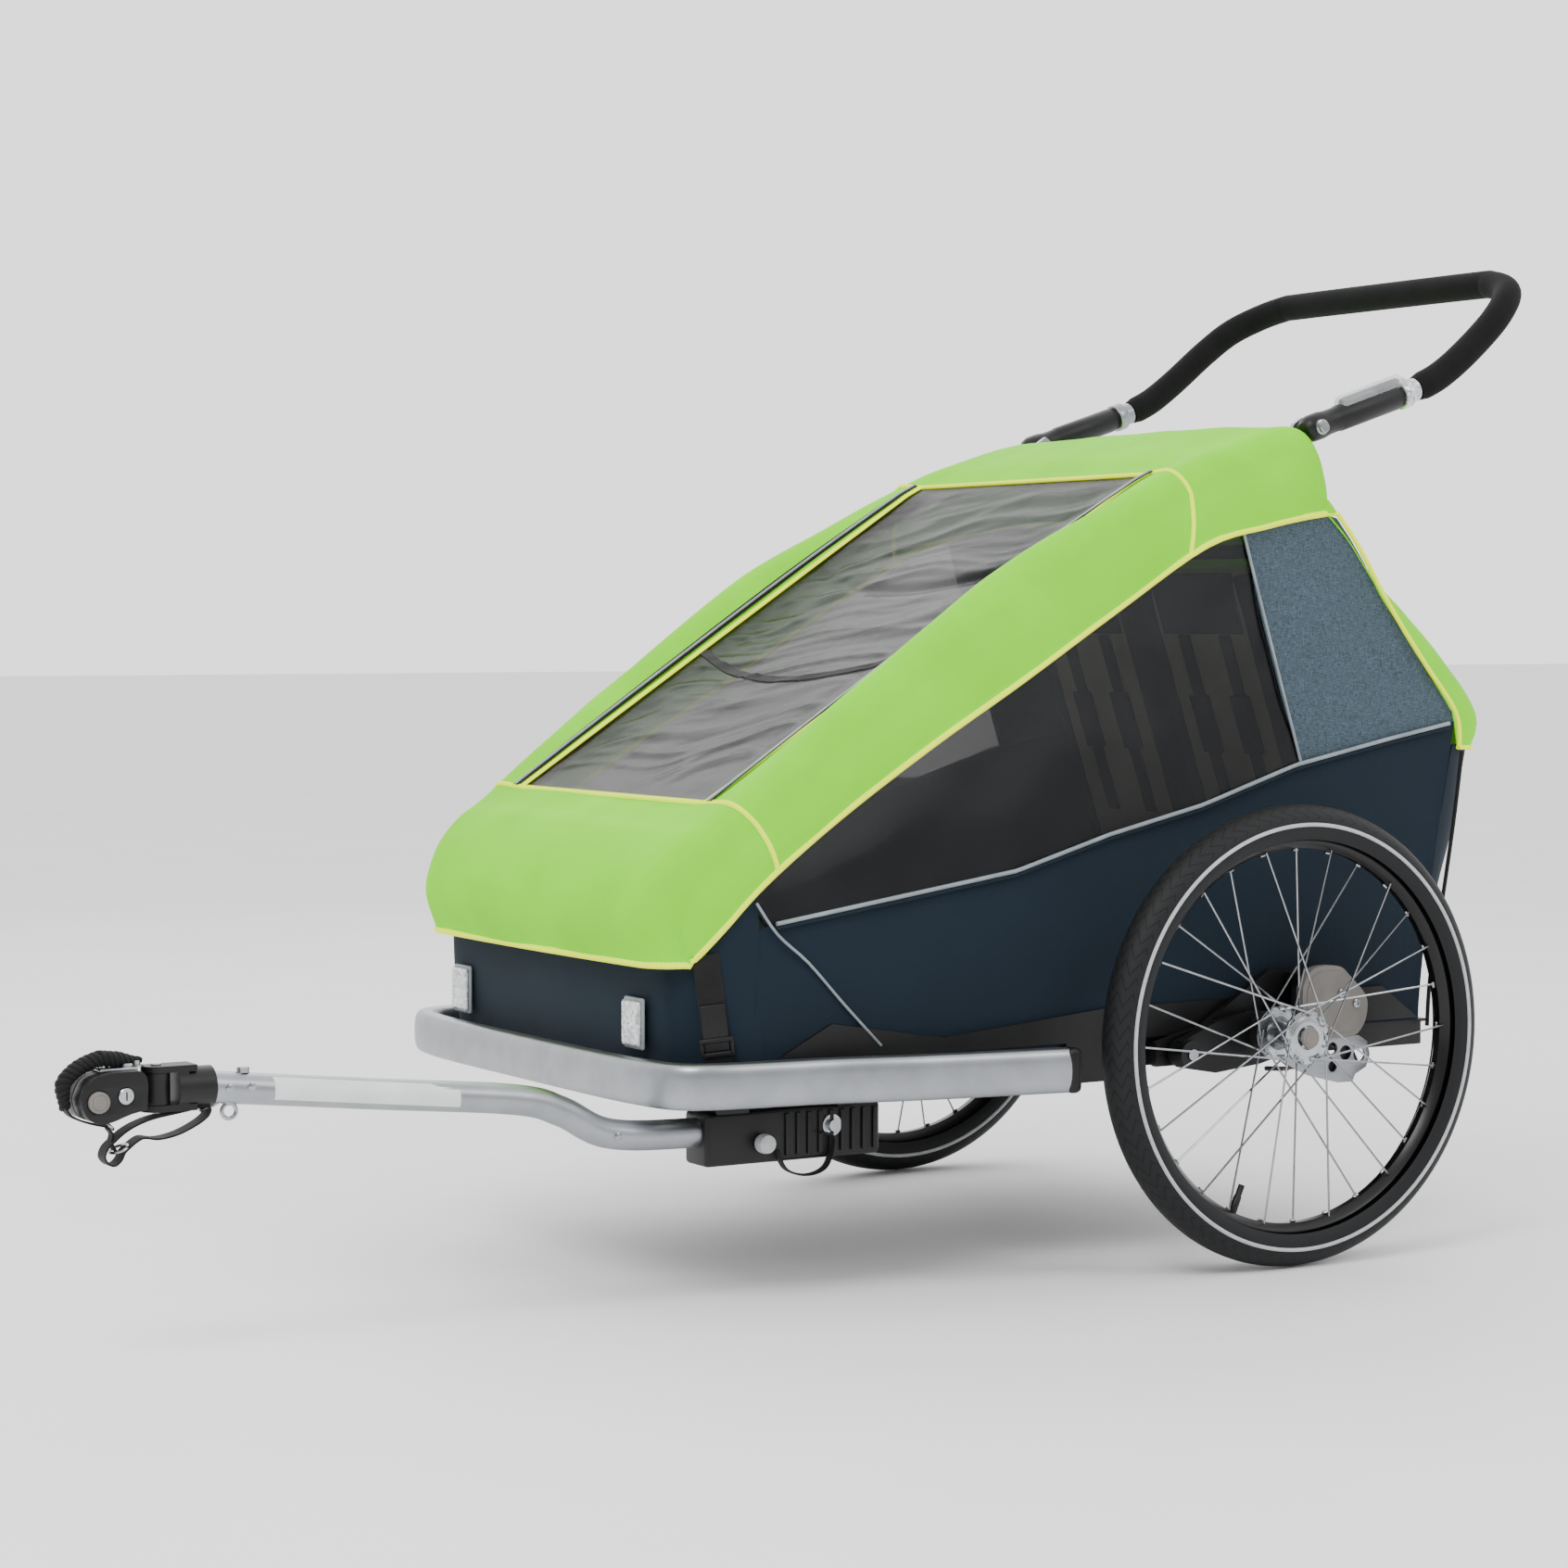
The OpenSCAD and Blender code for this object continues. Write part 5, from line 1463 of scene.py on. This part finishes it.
def build_hitch():
    """The hitch's casing, release button, lock and straps."""
    low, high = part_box("hitch_body")
    x0, x1 = low[0] / MM, high[0] / MM
    y0, y1 = edge("hitch_body", 0, 1), edge("hitch_body", 1, 1)
    z0, z1 = edge("hitch_body", 0, 2), edge("hitch_body", 1, 2)
    x = (x0 + x1) / 2
    ring = [(y1, z0 + 10), (y1 + 1, z1 - 12), (y1 - 3, z1 - 2), (y1 - 12, z1), (y0 + 24, z1 - 1),
            (y0 + 9, z1 - 6), (y0 + 2, z1 - 17), (y0, z0 + 20), (y0 + 5, z0 + 7), (y0 + 16, z0 + 0.5),
            (y0 + 28, z0 + 1), (y1 - 22, z0 + 5), (y1 - 12, z0 + 8)]
    outline = [(p.x, p.y) for p in smooth(ring + [ring[0]], 3)[:-1]]
    button_at, lock_at = (((spot.y - AXLE.y) / MM, (spot.z - AXLE.z) / MM)
                          for spot in (middle("hitch_button"), middle("hitch_lock")))
    halves = [plate("half", outline, x0, x - 1, 5), plate("half", outline, x + 1, x1 - 7, 4),
              plate("half", outline, x1 - 8, x1, 2.4, [(*button_at, 10.8), (*lock_at, 8.2)]),
              plate("core", [(y0 + 4, z0 + 10), (y1 - 4, z0 + 10), (y1 - 4, z1 - 5), (y0 + 12, z1 - 7)],
                    x - 12, x + 12, 1)]
    finish(joined("hitch_casing", halves), "hitch", MATERIALS["black"], ["hitch_body"],
           sharp=35)
    plates = [rounded_box("plate", (x - 15, y0 + 22, z1 - 1), (x + 15, y1 - 4, z1 + 2.2), 1.0)]
    for out in (7, -7):
        plates.append(lathe("screw", SCREW, at(x + out, y1 - 12, z1), (0, 0, 1), 24))
    finish(joined("hitch_top_plate", plates), "hitch", MATERIALS["steel"], sharp=30)
    face = x1 * MM
    b = Vector((face, AXLE.y + button_at[0] * MM, AXLE.z + button_at[1] * MM))
    cap = [(0, -3.5), (10, -3.5), (10, 2.4), (9.2, 3.6), (7.6, 4), (7, 3.5), (6.4, 4), (0, 4.2)]
    finish(lathe("release_cap", cap, b, (1, 0, 0), 48), "hitch_button", MATERIALS["grey"],
           ["hitch_button"], sharp=35)
    k = Vector((face, AXLE.y + lock_at[0] * MM, AXLE.z + lock_at[1] * MM))
    barrel = lathe("key_barrel", [(0, -8), (7.4, -8), (7.4, 0.8), (6.6, 1.5), (0, 1.5)], k, (1, 0, 0), 40)
    keyway = rounded_box("keyway", (x1 + 1.2, lock_at[0] - 0.7, lock_at[1] - 4),
                         (x1 + 1.8, lock_at[0] + 0.7, lock_at[1] + 4), 0.2, 1)
    finish(barrel, "hitch_lock", MATERIALS["polished"], ["hitch_lock"], sharp=35)
    finish(keyway, "hitch_lock", MATERIALS["black"])
    build_hitch_straps(x, y0, y1, z1)


def wire_ring(x, y, z, wide, long, rise):
    """A ring of bent wire round a point given in millimetres from the axle's middle."""
    ring = [at(x + wide * math.cos(t), y + long * math.sin(t), z + rise * math.sin(t)) for t in turns(32)]
    return tube("ring", ring, 1.5 * MM, 8, closed=True)


def build_hitch_straps(x, y0, y1, z1):
    """The braided safety strap, the webbing that links it to the drawbar, and their rings."""
    nose = edge("safety_strap", 0, 1) + 6
    over = z1 + 8
    line = smooth([(y1 + 4, over - 1), (y1 - 12, over), (y1 - 32, over + 2), (y0 + 24, over + 2),
                   (y0 + 6, over - 5), (nose + 1, 22), (nose, 10), (nose + 2, -2)], 9)
    path = resample([at(x, p.x, p.y) for p in line], 170)
    _, across = frames(path)
    strands = []
    for k in range(3):
        route, radii = [], []
        for i, (p, (s, n)) in enumerate(zip(path, across)):
            full = smooth_step(i / 42) * (1 - 0.45 * smooth_step((i - 132) / 30))
            turn = i * 0.25 + k * math.pi * 2 / 3
            reach = 4.5 * MM * (0.3 + 0.7 * full)
            route.append(p + (s * math.cos(turn) + n * math.sin(turn)) * reach)
            radii.append((1.9 + 1.5 * full) * MM)
        strands.append(tube("strand", route, radii, 8))
    finish(joined("braided_strap", strands), "hitch", MATERIALS["webbing"], ["safety_strap"])
    tail = smooth([(nose + 1, 0), (nose + 7, -8), (nose + 22, z1 - 46), (nose + 41, z1 - 51)], 6)
    flat_strap("hitch_tail", x, tail, 6.5, "hitch")
    eye = lathe("eye", [(0, 0), (7, 0), (7, 2), (4, 2.4), (4, 6), (0, 6)], at(x, y1 - 1, z1 + 1),
                (0, 0, 1), 24)
    finish(joined("hitch_rings", [eye, wire_ring(x, nose + 42, z1 - 51, 8, 4, -3.5)]), "hitch",
           MATERIALS["steel"], sharp=30)

    link = smooth([(nose + 42, -22), (nose + 46, -28), (nose + 45, -35), (nose + 49, -43)], 5)
    flat_strap("strap_link", x, link, 5.5, "chassis")
    shape = [(134, -8), (112, -12), (85, -16), (68, -21), (56, -27), (47, -34), (40, -40), (37, -48),
             (41, -54), (46, -55), (51, -51), (54, -45), (58, -41), (66, -35), (74, -32), (88, -34),
             (106, -31), (123, -24), (134, -17), (137, -11), (134, -8)]
    flat_strap("drawbar_webbing", x, smooth([(nose + a, b) for a, b in shape], 5), 9, "chassis",
               ["webbing_strap"])
    rings = [wire_ring(x, nose + 52, -42, 11, 8, 3), wire_ring(x, nose + 142, -8, 5, 11, 4.5)]
    finish(joined("strap_rings", rings), "chassis", MATERIALS["steel"], sharp=30)


def flat_strap(name, x, line, half_width, body, nodes=()):
    """Webbing along a line of (y, z) points."""
    rows = [[at(x + half_width * w, p[0], p[1]) for w in (-1, -0.5, 0, 0.5, 1)] for p in line]
    band = grid(name, rows)
    thicken(band, 1.8 * MM)
    finish(band, body, MATERIALS["webbing"], nodes)


# ---- what the frame already has ----

NODE_LOOKS = {
    "black_tube": ["side_rails", "crossbars", "hinge_brackets", "suspension_brackets", "roof_tubes",
                   "seat_uprights", "left_swing_arm", "right_swing_arm", "hitch_knuckle"],
    "black": ["floor_pan", "bumper_brackets", "side_skirts", "drawbar_fork", "brake_cables"],
    "steel": ["hinge_pins", "drawbar_bolts", "left_axle", "right_axle", "left_spokes", "right_spokes",
              "drawbar_pin"],
    "alloy": ["handle_brackets"],
    "pad": ["left_suspension_pad", "right_suspension_pad"],
    "red": ["brake_pedal"],
}


def dress_nodes():
    """Gives the frame's own nodes their materials."""
    for look, nodes in NODE_LOOKS.items():
        for name in nodes:
            node = frame["nodes"][name]
            node.data.materials.clear()
            node.data.materials.append(MATERIALS[look])


# ---- stage ----

CAMERA_AT = (3319.7, -2389.6, 436.4)
CAMERA_TURN = 59.02
CAMERA_RISE = 2.606
LENS = 81.72


def build_stage():
    """The floor, the studio's light and the camera."""
    floor = new_piece("floor", [(-40, -40, 0), (40, -40, 0), (40, 40, 0), (-40, 40, 0)], [(0, 1, 2, 3)])
    material, tree, shader, coordinates = blank("matt_white_floor")
    tinted(tree, shader, coordinates, "#F4F4F4", "#F7F7F7", 3)
    set_shader(shader, Roughness=0.6)
    floor.data.materials.append(material)
    world = bpy.data.worlds.new("studio")
    world.use_nodes = True
    tree = world.node_tree
    # the far wall of the studio is brighter than the side that the light comes past
    turn = math.radians(CAMERA_TURN)
    facing = add(tree, "ShaderNodeVectorMath", {0: add(tree, "ShaderNodeTexCoord").outputs["Generated"]},
                 operation="DOT_PRODUCT")
    facing.inputs[1].default_value = (-math.sin(turn), math.cos(turn), 0.35)
    strength = add(tree, "ShaderNodeMapRange", {"Value": facing.outputs["Value"], "From Min": -0.9,
                                                "From Max": 0.7, "To Min": 0.5, "To Max": 1.9})
    tree.nodes["Background"].inputs["Color"].default_value = linear("#FFFFFF")
    tree.links.new(strength.outputs["Result"], tree.nodes["Background"].inputs["Strength"])
    bpy.context.scene.world = world
    for name, place, size, power in (("key", (1.8, -2.4, 3.6), 1.6, 110), ("fill", (3.6, 1.6, 3.4), 2.0, 55),
                                     ("back", (-3.0, 1.0, 3.2), 3.0, 45)):
        light = bpy.data.lights.new(name, "AREA")
        light.size = size
        light.energy = power
        lamp = placed(name, light)
        lamp.location = place
        lamp.rotation_euler = (Vector((0, 0, 0.5)) - Vector(place)).to_track_quat("-Z", "Y").to_euler()
    lens = bpy.data.cameras.new("camera")
    lens.lens = LENS
    lens.sensor_width = 36
    camera = placed("camera", lens)
    camera.location = at(*CAMERA_AT)
    turn, rise = math.radians(CAMERA_TURN), math.radians(CAMERA_RISE)
    camera.rotation_euler = (math.pi / 2 - rise, 0, turn)
    bpy.context.scene.camera = camera


# ---- add-on ----

def build_cover():
    build_screen(*build_canopy())


def build_tub():
    build_windows()
    build_walls()


def build_wheels():
    for side in SIDES:
        build_wheel(side)


def build_fittings():
    build_bumper()
    build_reflectors()
    build_suspension()
    build_straps()


def build_tow():
    build_drawbar()
    build_hitch()


def colour_setting(name, description, value):
    """A colour of the panel, from a hex value."""
    return bpy.props.FloatVectorProperty(name=name, description=description, subtype="COLOR", size=4, min=0.0,
                                         max=1.0, default=linear(value))


def length_setting(name, description, value):
    """A length of the panel, in metres."""
    return bpy.props.FloatProperty(name=name, description=description, default=value, min=0.0001, max=0.05,
                                   subtype="DISTANCE", unit="LENGTH", precision=4)


class TRAILER_PG_colours(bpy.types.PropertyGroup):
    """Colours of the cloth"""
    cover: colour_setting("Cover", "Coated cloth of the canopy and the rear cover", "#7CDC00")
    binding: colour_setting("Binding", "Tape and piping on the edges of the cover", "#E8FC00")
    tub: colour_setting("Tub", "Laminated cloth of the walls and the luggage pocket", "#0E1D29")
    canvas: colour_setting("Canvas", "Flecked canvas beside the rear windows", "#3C4B55")
    seat: colour_setting("Seat", "Spacer mesh of the two seat backs", "#B3A899")


class TRAILER_PG_sizes(bpy.types.PropertyGroup):
    """Sizes of the cloth and its seams"""
    cover: length_setting("Cover Thickness", "Thickness of the coated cover cloth", 0.0012)
    wall: length_setting("Wall Thickness", "Thickness of the laminated wall cloth", 0.0025)
    stitch: length_setting("Stitch Spacing", "Distance from one stitch to the next", 0.005)


class TRAILER_OT_stage(bpy.types.Operator):
    """Add the floor, the lights and the camera"""
    bl_idname = "trailer.stage"
    bl_label = "Stage"

    def execute(self, context):
        build_stage()
        return {"FINISHED"}


class TRAILER_OT_frame(bpy.types.Operator):
    """Give the frame's own parts their finishes"""
    bl_idname = "trailer.frame"
    bl_label = "Frame Finishes"

    def execute(self, context):
        MATERIALS.update(make_materials())
        dress_nodes()
        return {"FINISHED"}


class TRAILER_OT_cover(bpy.types.Operator):
    """Build the canopy, its piping and the front screen"""
    bl_idname = "trailer.cover"
    bl_label = "Canopy"

    def execute(self, context):
        build_cover()
        return {"FINISHED"}


class TRAILER_OT_tub(bpy.types.Operator):
    """Build the side windows, walls, rear cover and luggage pocket"""
    bl_idname = "trailer.tub"
    bl_label = "Fabric Tub"

    def execute(self, context):
        build_tub()
        return {"FINISHED"}


class TRAILER_OT_seats(bpy.types.Operator):
    """Build the two seats and their harnesses"""
    bl_idname = "trailer.seats"
    bl_label = "Seats"

    def execute(self, context):
        build_seats()
        return {"FINISHED"}


class TRAILER_OT_wheels(bpy.types.Operator):
    """Build the two wheels"""
    bl_idname = "trailer.wheels"
    bl_label = "Wheels"

    def execute(self, context):
        build_wheels()
        return {"FINISHED"}


class TRAILER_OT_fittings(bpy.types.Operator):
    """Build the bumper, reflectors, suspension covers and straps"""
    bl_idname = "trailer.fittings"
    bl_label = "Fittings"

    def execute(self, context):
        build_fittings()
        return {"FINISHED"}


class TRAILER_OT_push_bar(bpy.types.Operator):
    """Build the push bar"""
    bl_idname = "trailer.push_bar"
    bl_label = "Push Bar"

    def execute(self, context):
        build_push_bar()
        return {"FINISHED"}


class TRAILER_OT_tow(bpy.types.Operator):
    """Build the drawbar and the hitch"""
    bl_idname = "trailer.tow"
    bl_label = "Drawbar and Hitch"

    def execute(self, context):
        build_tow()
        return {"FINISHED"}


class TRAILER_PT_panel(bpy.types.Panel):
    """Lists the trailer's parts"""
    bl_idname = "TRAILER_PT_panel"
    bl_label = "Child Bicycle Trailer"
    bl_space_type = "VIEW_3D"
    bl_region_type = "UI"
    bl_category = "Trailer"

    def draw(self, context):
        for settings in (context.scene.trailer_colours, context.scene.trailer_sizes):
            for name in settings.__annotations__:
                self.layout.prop(settings, name)
        for operator in OPERATORS:
            self.layout.operator(operator.bl_idname)


OPERATORS = (TRAILER_OT_stage, TRAILER_OT_frame, TRAILER_OT_cover, TRAILER_OT_tub, TRAILER_OT_seats,
             TRAILER_OT_wheels, TRAILER_OT_fittings, TRAILER_OT_push_bar, TRAILER_OT_tow)
CLASSES = (TRAILER_PG_colours, TRAILER_PG_sizes, *OPERATORS, TRAILER_PT_panel)


def register():
    for item in CLASSES:
        bpy.utils.register_class(item)
    bpy.types.Scene.trailer_colours = bpy.props.PointerProperty(type=TRAILER_PG_colours)
    bpy.types.Scene.trailer_sizes = bpy.props.PointerProperty(type=TRAILER_PG_sizes)


def unregister():
    del bpy.types.Scene.trailer_sizes
    del bpy.types.Scene.trailer_colours
    for item in reversed(CLASSES):
        bpy.utils.unregister_class(item)


def main():
    register()
    for operator in OPERATORS:
        group, name = operator.bl_idname.split(".")
        getattr(getattr(bpy.ops, group), name)()


if __name__ == "__main__":
    main()
